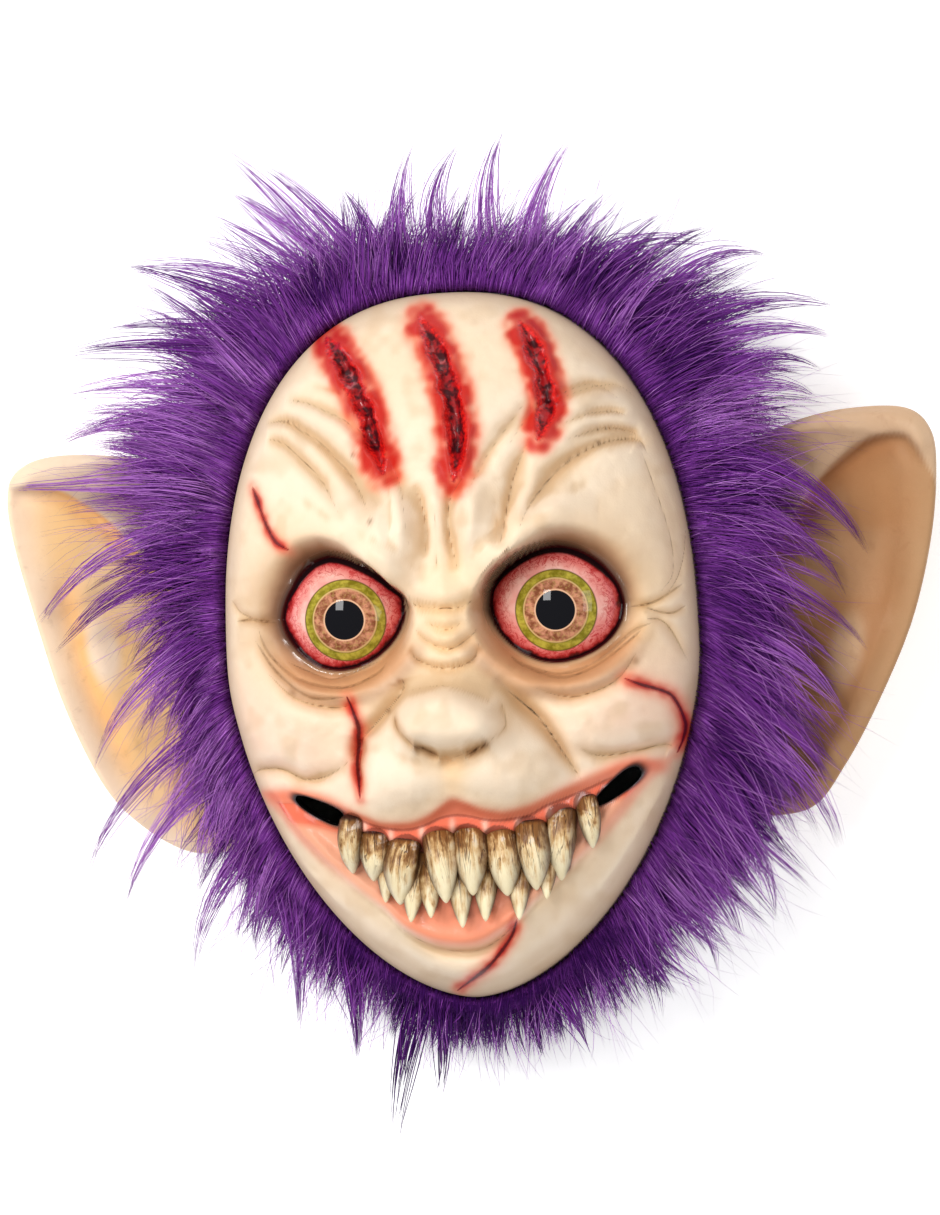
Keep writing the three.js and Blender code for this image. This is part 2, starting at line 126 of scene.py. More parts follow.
def lineY(line, x):
    # Height y of a left-to-right line at x
    return np.interp(x, line[:, 0], line[:, 1])


def linear(red, green, blue):
    # A screen colour from 0 to 255 as linear light
    c = np.array([red, green, blue], float) / 255
    return np.where(c > 0.04045, ((c + 0.055) / 1.055) ** 2.4, c / 12.92)


# Meshes, put straight into Blender from arrays


def makePiece(name, points, faces, nodes, values=None, colours=None, maps=None):
    # points are in millimetres, faces are arrays of corner numbers, nodes are the CAD nodes it stands for,
    # and values, colours and maps are further data of its points, by name
    mesh = bpy.data.meshes.new(name)
    faces = [np.asarray(f, np.int32) for f in faces]
    sizes = np.concatenate([np.full(len(f), f.shape[1], np.int32) for f in faces])
    corners = np.concatenate([f.ravel() for f in faces])
    mesh.vertices.add(len(points))
    mesh.vertices.foreach_set("co", (np.asarray(points, np.float32) * 0.001).ravel())
    mesh.loops.add(len(corners))
    mesh.loops.foreach_set("vertex_index", corners)
    mesh.polygons.add(len(sizes))
    mesh.polygons.foreach_set("loop_start", np.concatenate([[0], np.cumsum(sizes)[:-1]]).astype(np.int32))
    mesh.polygons.foreach_set("use_smooth", np.ones(len(sizes), bool))
    for key, value in (values or {}).items():
        mesh.attributes.new(key, "FLOAT", "POINT").data.foreach_set("value", np.asarray(value, np.float32))
    for key, value in (colours or {}).items():
        rows = np.ones((len(points), 4), np.float32)
        rows[:, :3] = value
        mesh.attributes.new(key, "FLOAT_COLOR", "POINT").data.foreach_set("color", rows.ravel())
    for key, value in (maps or {}).items():
        mesh.uv_layers.new(name=key).data.foreach_set("uv", np.asarray(value, np.float32)[corners].ravel())
    mesh.update(calc_edges=True)
    mesh.validate()
    piece = bpy.data.objects.new(name, mesh)
    bpy.context.scene.collection.objects.link(piece)
    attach(piece, "root")
    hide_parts(*nodes)
    return piece


def gridFaces(rows, columns, wrapRows=False, wrapColumns=False, first=0):
    # Squares of a grid of rows by columns of points, numbered row by row
    r = np.arange(rows if wrapRows else rows - 1)
    c = np.arange(columns if wrapColumns else columns - 1)
    r, c = np.meshgrid(r, c, indexing="ij")
    down, right = (r + 1) % rows, (c + 1) % columns
    corners = [r * columns + c, r * columns + right, down * columns + right, down * columns + c]
    return first + np.stack(corners, -1).reshape(-1, 4)


# Materials: a wire is one output socket, so that sums on it can be written as sums


class Wire:
    # An output socket of a finish, where each sum adds one Math node
    def __init__(self, finish, socket):
        self.finish, self.socket = finish, socket

    def __add__(self, other):
        return self.finish.sum("ADD", self, other)

    def __sub__(self, other):
        return self.finish.sum("SUBTRACT", self, other)

    def __rsub__(self, other):
        return self.finish.sum("SUBTRACT", other, self)

    def __mul__(self, other):
        return self.finish.sum("MULTIPLY", self, other)

    def __truediv__(self, other):
        return self.finish.sum("DIVIDE", self, other)

    def __pow__(self, other):
        return self.finish.sum("POWER", self, other)

    __radd__, __rmul__ = __add__, __mul__

    def ramp(self, low, high):
        # 0 at low and 1 at high, with a soft start and end
        settings = {"interpolation_type": "SMOOTHSTEP"}
        return self.finish.node("ShaderNodeMapRange", settings, {0: self, 1: low, 2: high, 3: 0.0, 4: 1.0})

    def most(self, other):
        return self.finish.sum("MAXIMUM", self, other)


class Finish:
    def __init__(self, name, fixed):
        self.material = bpy.data.materials.new(name)
        self.material.use_nodes = True
        self.tree = self.material.node_tree
        self.shader = self.tree.nodes["Principled BSDF"]
        for socket, value in fixed.items():
            self.shader.inputs[socket].default_value = value

    def node(self, kind, settings=None, values=None, output=0):
        made = self.tree.nodes.new(kind)
        for key, value in (settings or {}).items():
            setattr(made, key, value)
        for key, value in (values or {}).items():
            self.feed(made.inputs[key], value)
        return Wire(self, made.outputs[output])

    def feed(self, socket, value):
        if isinstance(value, Wire):
            self.tree.links.new(value.socket, socket)
        elif socket.type == "RGBA":
            socket.default_value = (*value, 1)
        else:
            socket.default_value = value

    def sum(self, operation, first, second):
        return self.node("ShaderNodeMath", {"operation": operation}, {0: first, 1: second})

    def blend(self, share, first, second, mode="MIX"):
        settings = {"data_type": "RGBA", "blend_type": mode}
        return self.node("ShaderNodeMix", settings, {0: share, 6: first, 7: second}, output=2)

    def attribute(self, name, output="Fac"):
        return self.node("ShaderNodeAttribute", {"attribute_name": name}, output=output)

    def place(self):
        return self.node("ShaderNodeTexCoord", output="Object")

    def shifted(self, shift):
        return self.node("ShaderNodeMapping", None, {"Vector": self.place(), "Location": shift})

    def parts(self, vector):
        # The first two parts of a vector
        split = self.node("ShaderNodeSeparateXYZ", None, {0: vector})
        return split, Wire(self, split.socket.node.outputs[1])

    def noise(self, size, detail, rough=0.55, source=None, bend=0.0):
        # size is the width of the largest speck in millimetres, or in thousandths of the source's own unit
        values = {"Vector": source or self.place(), "Scale": 1000 / size, "Detail": detail}
        return self.node("ShaderNodeTexNoise", None, {**values, "Roughness": rough, "Distortion": bend})

    def joined(self, x, y, z):
        return self.node("ShaderNodeCombineXYZ", None, {0: x, 1: y, 2: z})

    def relief(self, height, depth, strength):
        # depth in millimetres for a height that runs from 0 to 1
        values = {"Height": height, "Distance": depth / 1000, "Strength": strength}
        return self.node("ShaderNodeBump", None, values)

    def finish(self, **feeds):
        for socket, value in feeds.items():
            self.feed(self.shader.inputs[socket.replace("_", " ")], value)
        return self.material


# Camera and light


def placed(right, up, back, place):
    # The matrix of an object whose axes and place are given
    rows = np.eye(4)
    rows[:3, :] = np.column_stack([right, up, back, place])
    return Matrix(rows.tolist())


def setCamera():
    # Above the mask, turned a little to its left and rolled as in the photograph
    view = {
        "turn": 6.2,
        "roll": 2.7,
        "distance": 1400,
        "target": (0, 0, 80),
        "pixelsAtTarget": 3636,
        "targetPixel": (459, 645),
        "picture": (940, 1215),
        "sensor": 36,
        "clip": (0.05, 20),
    }
    turn, roll = math.radians(view["turn"]), math.radians(view["roll"])
    back = np.array([math.sin(turn), 0, math.cos(turn)])
    level = np.array([math.cos(turn), 0, -math.sin(turn)])
    rise = np.cross(back, level)
    right = math.cos(roll) * level - math.sin(roll) * rise
    up = math.sin(roll) * level + math.cos(roll) * rise
    place = (np.array(view["target"]) + view["distance"] * back) / 1000
    lens = bpy.data.cameras.new("photoView")
    width, height = view["picture"]
    lens.sensor_width = view["sensor"]
    lens.sensor_fit = "AUTO"
    lens.lens = view["pixelsAtTarget"] * view["sensor"] / height
    lens.shift_x = (width / 2 - view["targetPixel"][0]) / height
    lens.shift_y = (view["targetPixel"][1] - height / 2) / height
    lens.clip_start, lens.clip_end = view["clip"]
    camera = bpy.data.objects.new("photoView", lens)
    camera.matrix_world = placed(right, up, back, place)
    bpy.context.scene.collection.objects.link(camera)
    bpy.context.scene.camera = camera


skyStrength = 0.3  # the even light from all round


def setLights():
    # Softboxes as (place, aimed at, width, height, watts, seen in reflections), in metres
    boxes = {
        "leftBox": ((-1.0, 0.6, 1.2), (0, 0, 0.08), 0.8, 0.9, 15.5, False),
        "frontBox": ((0.1, -0.6, 1.8), (0, 0, 0.05), 0.9, 0.9, 8.5, False),
        "rightBox": ((1.15, 0.15, 1.0), (0, 0, 0.05), 0.4, 0.8, 4, True),
        "windowBox": ((-0.4, 0.55, 1.65), (0, 0, 0.08), 0.36, 0.5, 8, True),
    }
    for name, (place, aim, width, height, watts, mirrored) in boxes.items():
        lamp = bpy.data.lights.new(name, "AREA")
        lamp.shape, lamp.size, lamp.size_y, lamp.energy = "RECTANGLE", width, height, watts
        box = bpy.data.objects.new(name, lamp)
        box.visible_glossy = mirrored
        back = np.array(place, float) - np.array(aim, float)
        back /= np.linalg.norm(back)
        right = np.cross([0, 1, 0], back)
        right /= np.linalg.norm(right)
        box.matrix_world = placed(right, np.cross(back, right), back, place)
        bpy.context.scene.collection.objects.link(box)
    world = bpy.data.worlds.new("paleStudio")
    world.use_nodes = True
    sky = world.node_tree.nodes["Background"]
    sky.inputs["Color"].default_value = (1, 1, 1, 1)
    sky.inputs["Strength"].default_value = skyStrength
    bpy.context.scene.world = world
    bpy.context.scene.view_settings.view_transform = "Standard"


def setFloor():
    # A large pale sheet under the mask. covered is half the width and height of the ground in the hollow.
    floor = {"halfSide": 3000, "level": -0.2, "glow": 0.42, "covered": (0.1, 0.145)}
    side, level = floor["halfSide"], floor["level"]
    points = [[-side, -side, level], [side, -side, level], [side, side, level], [-side, side, level]]
    mesh = bpy.data.meshes.new("paleFloor")
    mesh.from_pydata([[c / 1000 for c in p] for p in points], [], [[0, 1, 2, 3]])
    sheet = bpy.data.objects.new("paleFloor", mesh)
    bpy.context.scene.collection.objects.link(sheet)
    # A faint glow of its own keeps the mask's shadow pale, except on the ground that the hollow mask covers
    fixed = {"Roughness": 0.9, "Specular IOR Level": 0.1, "Emission Strength": floor["glow"]}
    paper = Finish("palePaper", fixed)
    x, y = (part / half for part, half in zip(paper.parts(paper.place()), floor["covered"]))
    clear = (x * x + y * y).ramp(0.95, 1.55)
    glow = paper.blend(clear, (0, 0, 0), (1, 1, 1))
    tone = paper.blend(paper.noise(900, 2), (0.93, 0.93, 0.93), (0.9, 0.9, 0.9))
    mesh.materials.append(paper.finish(Base_Color=tone, Emission_Color=glow))


setCamera()
setLights()
setFloor()
print("camera, lights and floor are set")

# The face: outline, masses and folds

face = {
    "halfWidth": 92.0,
    "halfHeight": 136.5,
    "edgeHeight": 72.0,
    "rise": 46.0,
    "wallFlare": 6.0,
    "wall": 3.0,
    "crownPower": 2.35,
    "chinPower": 1.75,
    "capRings": 140,
    "wallRings": 4,
    "liningRings": 24,
    "sharpAngle": 58,
}


def outlineRadius(angle):
    # Superellipse: (|cos/width|^n + |sin/height|^n)^(-1/n), squarer over the brow than at the chin
    power = mix(face["chinPower"], face["crownPower"], smooth(np.sin(angle), -0.35, 0.35))
    across = np.abs(np.cos(angle) / face["halfWidth"]) ** power
    along = np.abs(np.sin(angle) / face["halfHeight"]) ** power
    return (across + along) ** (-1 / power)


def wallRadius(angle, height):
    # The side wall leans out by the flare from its upper edge to the ground
    return outlineRadius(angle) + face["wallFlare"] * (1 - height / face["edgeHeight"])


# Rounded masses: x, y, half widths, height, turn in degrees, and a power that flattens the top.
# A paired mass has a twin at -x.
masses = [
    (0, 88, 52, 26, 8, 0, 1),
    (0, 6, 12, 26, 7, 0, 1),
    (0, -27, 20, 12.5, 23, 0, 1.7),
    (0, -46, 20, 14, 5, 0, 1),
    (2, -103, 40, 20, 12, 0, 1),
    (2, -126, 18, 9, 7, 0, 1),
]
pairedMasses = [
    (37, 42, 30, 12, 10.5, -10, 1),
    (15, -32, 7, 7, 6, 0, 1),
    (22, -48, 19, 15, 12, 0, 1.2),
    (62, -28, 18, 16, 7, 0, 1.2),
]
browMasses = [
    (-16.5, 41, 6, 17, 5.5, 6, 1),
    (12, 44, 6.5, 18, 6, -6, 1),
    (-2, 40, 4.5, 16, 2.8, 0, 1),
    (0, 20, 9, 7, 3, 0, 1),
    (-23, 30, 10.5, 7, 9, -35, 1.5),
    (21, 29, 10.5, 8, 9.5, 35, 1.5),
    (0.5, 10.5, 10, 3.2, 1.6, 0, 1),
    (0.5, 2.5, 11, 3.4, 1.8, 0, 1),
    (0, -5, 12, 3.2, 1.6, 0, 1),
]
bagMasses = [(43, -15, 25, 4.2, 2.6, 4, 1)]


def mound(row, x, y):
    # height times e to the minus q^power, where q is the squared distance in half widths, on turned axes
    cx, cy, halfX, halfY, height, turn, power = row
    c, s = math.cos(math.radians(turn)), math.sin(math.radians(turn))
    along = ((x - cx) * c + (y - cy) * s) / halfX
    across = ((y - cy) * c - (x - cx) * s) / halfY
    return height * np.exp(-((along**2 + across**2) ** power))


def mounds(rows, x, y, paired=False):
    # All masses of a list together
    height = sum(mound(row, x, y) for row in rows)
    if paired:
        height = height + sum(mound((-r[0], *r[1:5], -r[5], r[6]), x, y) for r in rows)
    return height


# Folds and wrinkles: points, width, height, and how dark they are painted: a dark line in the crease and a
# soft painted shade beside it
folds = [
    ([[-69.5, 89], [-61.5, 88.5], [-55, 84.5], [-47.5, 79.5], [-36.5, 68], [-31.5, 60],
      [-25.5, 48.5]], 4.2, -3, 0.55),
    ([[-70, 82.5], [-65, 81.5], [-59, 77.5], [-48.5, 67], [-43.5, 60], [-37, 48.5]], 3.6, -2.2, 0.4),
    ([[-62, 97.5], [-55, 96], [-38, 88], [-23.5, 76], [-18, 67], [-14.5, 57], [-12, 38]], 4, -1.8, 0.1),
    ([[-23.5, 71.5], [-20, 61.5], [-18.5, 49.5], [-19.5, 39]], 3, -1, 0),
    ([[-10.5, 62.5], [-7.5, 53], [-6, 43.5], [-7, 32.5]], 3.4, -2.2, 0.05),
    ([[8.5, 62.5], [3.5, 55.5], [2, 46], [3.5, 36.5], [5.5, 27]], 3.4, -2.4, 0.05),
    ([[76.5, 69], [74, 74], [69.5, 75.5], [58.5, 73.5], [44.5, 65.5], [34.5, 53], [29.5, 41.5]],
      3.8, -2.8, 0.5),
    ([[72.5, 76.5], [69.5, 78.5], [59.5, 79.5], [46.5, 75]], 2.6, -1.4, 0.3),
    ([[54, 85.5], [59.5, 86], [65, 86], [69, 84]], 2.6, -1.2, 0.15),
    ([[67, 90.5], [57, 97], [45, 93], [34, 85.5], [25.5, 73.5]], 4, -2.2, 0.1),
    ([[33, 91], [23, 78], [16.5, 69], [9.5, 55]], 3.4, -1.6, 0.05),
    ([[34, 77.5], [27, 62.5], [23.5, 44], [21.5, 34]], 3.4, -2.4, 0.15),
    ([[21, 57], [20.5, 50.5], [21, 42.5], [20.5, 35]], 2.4, -0.9, 0),
    ([[73.5, 73], [76.5, 63], [83, 40], [84, 24], [79.5, 17]], 4.5, -0.7, 0.1),
    ([[89, 40], [88, 30.5], [85.5, 22], [82, 16.5]], 2.2, -0.5, 0.1),
    ([[-85, 13], [-78.5, 13.5], [-73, 12.5], [-67, 12]], 2, -1.4, 0.8),
    ([[-87, 21.5], [-83, 16.5], [-77.5, 14]], 1.8, -0.8, 0.3),
    ([[-75, 10], [-70.5, -0.5], [-59, -10], [-41.5, -14], [-28.5, -9.5], [-24.5, -5.5]], 1.5, -0.9, 1),
    ([[-76.5, 5.5], [-68.5, -6.5], [-56.5, -16], [-50, -18], [-40, -17.5]], 1.6, -1, 0.9),
    ([[-63, -3.5], [-51.5, -9], [-44, -10.5], [-28.5, -5]], 1.3, -0.7, 0.5),
    ([[-71.5, -7.5], [-60, -17.5], [-45, -21.5], [-36, -20]], 3, -2, 0.25),
    ([[22, -4.5], [27, -8.5], [41, -12.5], [55.5, -8], [67.5, 1.5], [75.5, 5]], 1.5, -0.9, 1),
    ([[26, -8.5], [40.5, -14], [53.5, -10.5], [66, -2], [71.5, 2.5]], 1.4, -0.8, 0.9),
    ([[31, -17], [45, -21.5], [61, -16.5], [69.5, -6]], 3, -1.8, 0.2),
    ([[74, 6.5], [78.5, 6], [82.5, 1.5], [88, -10.5]], 2.2, -1, 0.35),
    ([[67.5, 11.5], [73.5, 12], [79, 14], [87.5, 19.5]], 1.8, -1.2, 0.6),
    ([[73.5, 11], [78.5, 9], [83.5, 8.5], [88, 11]], 1.8, -1, 0.5),
    ([[-18, -11.5], [-18, -16], [-25, -24], [-34.5, -33], [-39.5, -42]], 3.4, -3.2, 0.6),
    ([[-34.5, -33], [-36, -39.5], [-36.5, -47], [-35.5, -56]], 4.5, -4, 0.1),
    ([[17, -12.5], [25, -21.5], [33, -30], [41, -43], [47, -53]], 3.6, -4, 0.5),
    ([[-20.5, -25.5], [-20, -29], [-15, -34.5], [-12, -37]], 2.6, -2.2, 0.6),
    ([[-12.5, -37], [-9, -38], [-3.5, -41.5]], 2, -3, 1),
    ([[-4, -41.5], [0, -42], [6, -40.5]], 2.4, -2.4, 0.35),
    ([[5.5, -40.5], [8.5, -39.5], [15.5, -36.5]], 2, -3, 1),
    ([[15, -36.5], [20.5, -31.5], [20.5, -26.5], [19, -21]], 2.8, -2, 0.2),
    ([[-16.5, -16.5], [-10, -15.5], [0, -15], [12.5, -19.5], [17, -23]], 3.4, -1.6, 0.1),
    ([[-14, -1], [-11.5, -5], [-1, -8.5], [9, -6], [12, 0.5]], 2, -1.6, 0.4),
    ([[-12, 7], [-8.5, 3], [0.5, -1.5], [9, 3], [11.5, 7]], 2, -1.4, 0.25),
    ([[-9.5, 10], [-3, 7], [1.5, 6], [9, 10]], 1.8, -1, 0.2),
    ([[-15, 18], [-9.5, 15], [4.5, 14], [12.5, 18]], 2.6, -1.8, 0.35),
    ([[-84.5, -47.5], [-79, -44.5], [-68.5, -44.5], [-59.5, -48.5], [-49, -47], [-39, -41]],
      3.2, -2.2, 0.45),
    ([[44.5, -39], [53, -44], [64.5, -43.5], [77.5, -41.5], [81, -43]], 3.2, -2, 0.3),
    ([[-82.5, -56.5], [-70.5, -75], [-54, -93], [-45.5, -101.5]], 2.6, 0.7, 0),
    ([[78, -53.5], [72.5, -64.5], [55.5, -89], [46.5, -99.5]], 2.8, 0.7, 0),
    ([[-24, -107], [-12, -114.5], [3.5, -116], [13, -111.5], [20, -105]], 3, -1.8, 0.25),
]
fineFolds = [
    [[39.5, 88.5], [49, 93], [58, 96], [66, 96.5], [72.5, 91.5]],
    [[45, 81], [54, 84.5], [63, 86], [71, 84]],
    [[50.5, 76], [59.5, 79.5], [66.5, 79.5], [72, 77.5]],
    [[-61.5, 95.5], [-53, 95.5], [-44.5, 91], [-34, 85], [-26.5, 78.5]],
    [[-51, 102], [-40.5, 98.5], [-32, 93.5], [-24, 87.5]],
    [[-71, 88.5], [-61.5, 89.5], [-52.5, 85.5]],
    [[86, 63.5], [82.5, 75], [77.5, 85]],
    [[-3, 54.5], [-2, 39.5], [-3, 26.5]],
]
folds += [(points, 1.7, -0.5, 0.12) for points in fineFolds]
folds = [(softCurve(points, 4), width, height, wash) for points, width, height, wash in folds]

# Raised rolls between the folds: points, width and height
ridges = [
    ([[-61.5, 66], [-49, 61], [-36.5, 53.5], [-29.5, 45], [-22.5, 33.5], [-16.5, 24.5]], 5.5, 2.6),
    ([[-46, 71.5], [-35, 62], [-26, 51.5], [-21.5, 40], [-18.5, 29.5]], 3.6, 1.4),
    ([[-23.5, 67], [-16.5, 55.5], [-13, 42], [-13.5, 29]], 3.8, 1.7),
    ([[14.5, 65], [12, 54], [11, 40.5], [5.5, 27.5]], 4.2, 1.9),
    ([[27, 64.5], [21.5, 53.5], [18, 40.5], [13, 27]], 3.2, 1.3),
    ([[58.5, 50], [48, 50.5], [38.5, 47], [28.5, 40.5], [22, 32], [16, 24.5]], 6.0, 2.6),
    ([[39, 64], [31.5, 53], [26.5, 42]], 3.4, 1.6),
    ([[39.5, 93], [49, 97.5], [58, 100.5], [68, 100]], 3.0, 1.0),
    ([[46, 77.5], [56, 81.5], [66, 83.2], [73, 81]], 2.0, 0.9),
    ([[44, 84], [52, 88], [60, 90.5], [68, 90.5]], 2.4, 0.8),
    ([[-64, 93], [-53, 92], [-44.5, 87.5], [-34, 80], [-27, 72]], 3.6, 1.4),
    ([[-72, 86], [-62, 85.5], [-52, 79], [-44, 70]], 2.8, 1.2),
    ([[-51, 106], [-40.5, 102], [-32, 97], [-24, 90]], 3.0, 1.0),
]
ridges = [(softCurve(points, 4), width, height) for points, width, height in ridges]

# Wounds: points, half width of the open cut, depth, how far the sprayed red spreads
wounds = [
    ([[-46, 121], [-38, 110], [-30, 95], [-25, 80], [-22, 66]], 3.1, 4.4, 9.5),
    ([[-8, 126], [-1, 112], [5, 94], [7, 78], [5, 62]], 3.2, 4.4, 9.5),
    ([[30, 122], [36, 110], [40, 95], [40, 86], [37, 76]], 2.8, 4, 8.5),
    ([[-76, 64.5], [-73.5, 58.5], [-71, 52], [-68, 46], [-65, 42], [-60, 39]], 0.8, 0.9, 3.8),
    ([[-39.5, -17.5], [-38, -22.5], [-36, -28.5], [-36.5, -34], [-37.5, -43], [-36.5, -56]],
      0.75, 0.9, 4.4),
    ([[65, -15.5], [70.5, -18], [78.5, -21], [82.5, -24.5], [85.5, -33.5], [84.5, -39.5],
      [82, -45]], 0.7, 0.9, 5.2),
    ([[20, -104.5], [17.5, -110.5], [13.5, -116], [8, -122], [1.5, -127], [-7, -133]], 0.8, 0.9, 4.6),
]
wounds = [(softCurve(points, 5), half, depth, spray) for points, half, depth, spray in wounds]
gashes, smallCuts = wounds[:3], wounds[3:]

# The grin: upper edge of the lip, dark line where the gum begins, and outer edge of the lower lip
lipTop = softCurve(
    [[-75, -55], [-66, -54.5], [-57.5, -55], [-49, -57], [-41, -60.5], [-35.5, -63], [-29.5, -65.5],
     [-22, -66], [-16, -65.5], [-10, -63], [-5.5, -60], [-1, -57.5], [4, -59], [9.5, -61.5],
     [16.5, -63], [22, -62.5], [28, -61], [33.5, -58.5], [39, -56], [46.5, -53.5], [53.5, -51.5],
     [61, -49], [68.5, -48], [75, -49.5]], 4
)
gumTop = softCurve(
    [[-76, -57], [-60, -57.5], [-48, -60.5], [-36.5, -65], [-31.5, -67], [-24, -68.5], [-18, -68.5],
     [-12, -67], [-6, -64.5], [-0.5, -63.8], [5, -64.5], [10.5, -66], [16, -66.5], [22, -66],
     [27.5, -65], [33, -62], [39, -60], [44.5, -58], [50, -56], [61, -52], [76, -51]], 4
)
lipLow = softCurve(
    [[-75.5, -57], [-71.5, -61], [-68, -66], [-60, -75], [-50, -84.5], [-40.5, -92.5],
     [-30.5, -100], [-25, -106], [-19.5, -110.5], [-12, -114.5], [-4.5, -116], [3.5, -116],
     [9, -114], [15, -110], [21, -104.5], [31, -95], [42.5, -85], [52, -75.5], [62, -64.5],
     [69.5, -55.5], [75, -50]], 4
)
# Breathing slits at the corners of the grin: centre, turn in degrees, length and width
slits = [((-54.2, -60.2), -26, 21.5, 6.6), ((59.6, -56.4), 36, 21.5, 6.0)]
slitShape = {"power": 2.6, "flare": 0.25, "corners": 40, "cutLow": 40, "cutHigh": 145}

# Eyes: centre, and the lid's radius every 15 degrees from the outer corner, counted upwards
eye = {
    "spread": 40.0,
    "height": 13.0,
    "centre": 86.0,
    "radius": 27.0,
    "wall": 2.5,
    "back": -6.0,
    "hole": 18.0,
    "holeCorners": 64,
    "holeLow": 40,
    "holeHigh": 160,
}
leftLid = [25.0, 24.3, 23.3, 22.7, 22.3, 22.3, 22.3, 22.2, 22.4, 23.2, 24.7, 25.6,
           25.3, 24.0, 22.6, 21.6, 21.0, 20.9, 20.8, 20.8, 21.3, 22.3, 23.6, 24.6]
rightLid = [24.8, 24.0, 23.2, 23.7, 24.1, 23.5, 21.6, 20.1, 19.7, 19.8, 20.2, 22.5,
            22.1, 21.1, 20.2, 19.5, 19.3, 19.4, 19.9, 20.6, 21.3, 21.7, 22.5, 23.6]
# How wide the skin's slope down to the lid is, at the same angles
socketWidth = [14, 14, 14, 13, 12, 10, 7.5, 4.5, 3, 2.4, 2.6, 4,
               7, 8, 8.5, 9, 9.5, 10, 11, 12, 12.5, 13, 13.5, 14]
# How far the airbrushed shadow spreads from the lids and how dark it is, for the mask's left and right eye
shadeReach = [
    [6, 8, 9, 9, 8, 7, 6, 4, 3, 3, 3, 4, 5, 4, 4, 4, 4, 4, 4, 4, 4, 5, 5, 6],
    [11, 12, 12, 11, 9, 7, 5, 3, 2, 2, 2, 2, 3, 4, 4, 4, 4, 4, 5, 5, 6, 7, 8, 10],
]
shadeDepth = [
    [0.85, 1, 1, 1, 0.95, 0.9, 0.85, 0.55, 0.3, 0.25, 0.3, 0.45,
     0.6, 0.4, 0.35, 0.35, 0.35, 0.4, 0.4, 0.4, 0.45, 0.5, 0.5, 0.55],
    [1, 1, 1, 1, 0.95, 0.9, 0.7, 0.3, 0.1, 0.1, 0.1, 0.15,
     0.4, 0.45, 0.4, 0.4, 0.45, 0.5, 0.5, 0.55, 0.6, 0.7, 0.85, 1],
]


def lidSpace(x, y):
    # Distance outside the lid's edge, the lid's height on the dome, the slope's width round it, and the angle
    side = np.where(x > 0, 1.0, -1.0)
    dx, dy = side * x - eye["spread"], y - eye["height"]
    angle = np.arctan2(dy, dx)
    lid = np.where(side > 0, around(leftLid, angle), around(rightLid, angle))
    height = eye["centre"] + np.sqrt(eye["radius"] ** 2 - lid**2)
    return np.hypot(dx, dy) - lid, height, around(socketWidth, angle), angle


def foldHeight(x, y):
    # Each fold is a wide bell with a sharp crease in its middle, e to the minus gap, fading out at both ends
    total = np.zeros(x.shape)
    for line, width, height, _ in folds:
        gap, along, _ = nearLine(line, x, y, 3.2 * width)
        section = 0.62 * bell(gap, 1.15 * width) + 0.38 * np.exp(-gap / (0.34 * width))
        total += 2.2 * height * window(along, -0.04, 0.32, 0.66, 1.04) * section
    for line, width, height in ridges:
        gap, along, _ = nearLine(line, x, y, 3 * width)
        total += 1.7 * height * window(along, -0.04, 0.35, 0.6, 1.04) * bell(gap, width)
    return total


def skinGrain(x, y):
    # The clay's slight unevenness: broad swells and a finer ripple
    broad = 0.55 * grain(x, y, 15, 51) + 0.3 * grain(x, y, 7.3, 52)
    return broad + 0.18 * grain(x, y, 3.1, 53) + 0.08 * grain(x, y, 1.7, 54)


def woundSpace(x, y, rows):
    # Distance outside the nearest open cut, depth of that cut, and a mask of the red sprayed round it
    gap, depth, spray = np.full(x.shape, 60.0), np.zeros(x.shape), np.zeros(x.shape)
    ragged = 1 + 0.24 * grain(x, y, 4.6, 3) + 0.16 * grain(x, y, 2.6, 4)
    for line, half, deep, reach in rows:
        near, along, _ = nearLine(line, x, y, half + 2.5 * reach)
        taper = window(along, -0.03, 0.22, 0.74, 1.03)
        outside = near - half * ragged * taper
        closer = outside < gap
        depth = np.where(closer, deep * np.sqrt(taper), depth)
        gap = np.where(closer, outside, gap)
        fade = window(along, -0.12, 0.1, 0.9, 1.12)
        cloud = bell(np.maximum(near - half, 0), reach * mix(0.4, 0.62, fade)) * mix(0.4, 1, fade)
        spray = np.maximum(spray, cloud)
    return gap, depth, spray


def cutSpace(x, y):
    # Distance to the middle of the nearest small cut in units of its line's half width
    nearest = np.full(x.shape, 6.0)
    for line, half, _, _ in smallCuts:
        gap, along, _ = nearLine(line, x, y, 6)
        taper = window(along, -0.05, 0.2, 0.8, 1.05) * (0.75 + 0.45 * grain(x, y, 6, 9))
        nearest = np.minimum(nearest, gap / (0.12 + 0.75 * half * np.maximum(taper, 0)))
    return nearest


def mouthParts(x, y):
    # Masks from 0 to 1 of the whole mouth, the turned-in upper lip and the gum, then how far a point lies
    # above the lower lip's edge, below the upper lip's and below the line where the gum begins
    upper, gum, lower = lineY(lipTop, x), lineY(gumTop, x), lineY(lipLow, x)
    inside = window(x, -76, -72, 72, 76)
    mouth = smooth(upper - y, -1.8, 1.4) * smooth(y - lower, -2, 5) * inside
    band = smooth(upper - y, -0.6, 1.4) * smooth(y - gum, -1.4, 1.0) * inside
    gums = smooth(gum - y, -0.6, 1.0) * smooth(y - gum + 8.5, -1.5, 1.5) * smooth(y - lower, 1, 4) * inside
    return mouth, band, gums, y - lower, upper - y, gum - y


# The points of gum between the front fangs
toothGaps = [[-45, -66], [-36, -69], [-26, -73.5], [-14, -72], [-2, -71], [10.4, -71], [22.7, -71],
             [34.5, -67.5], [45, -63]]


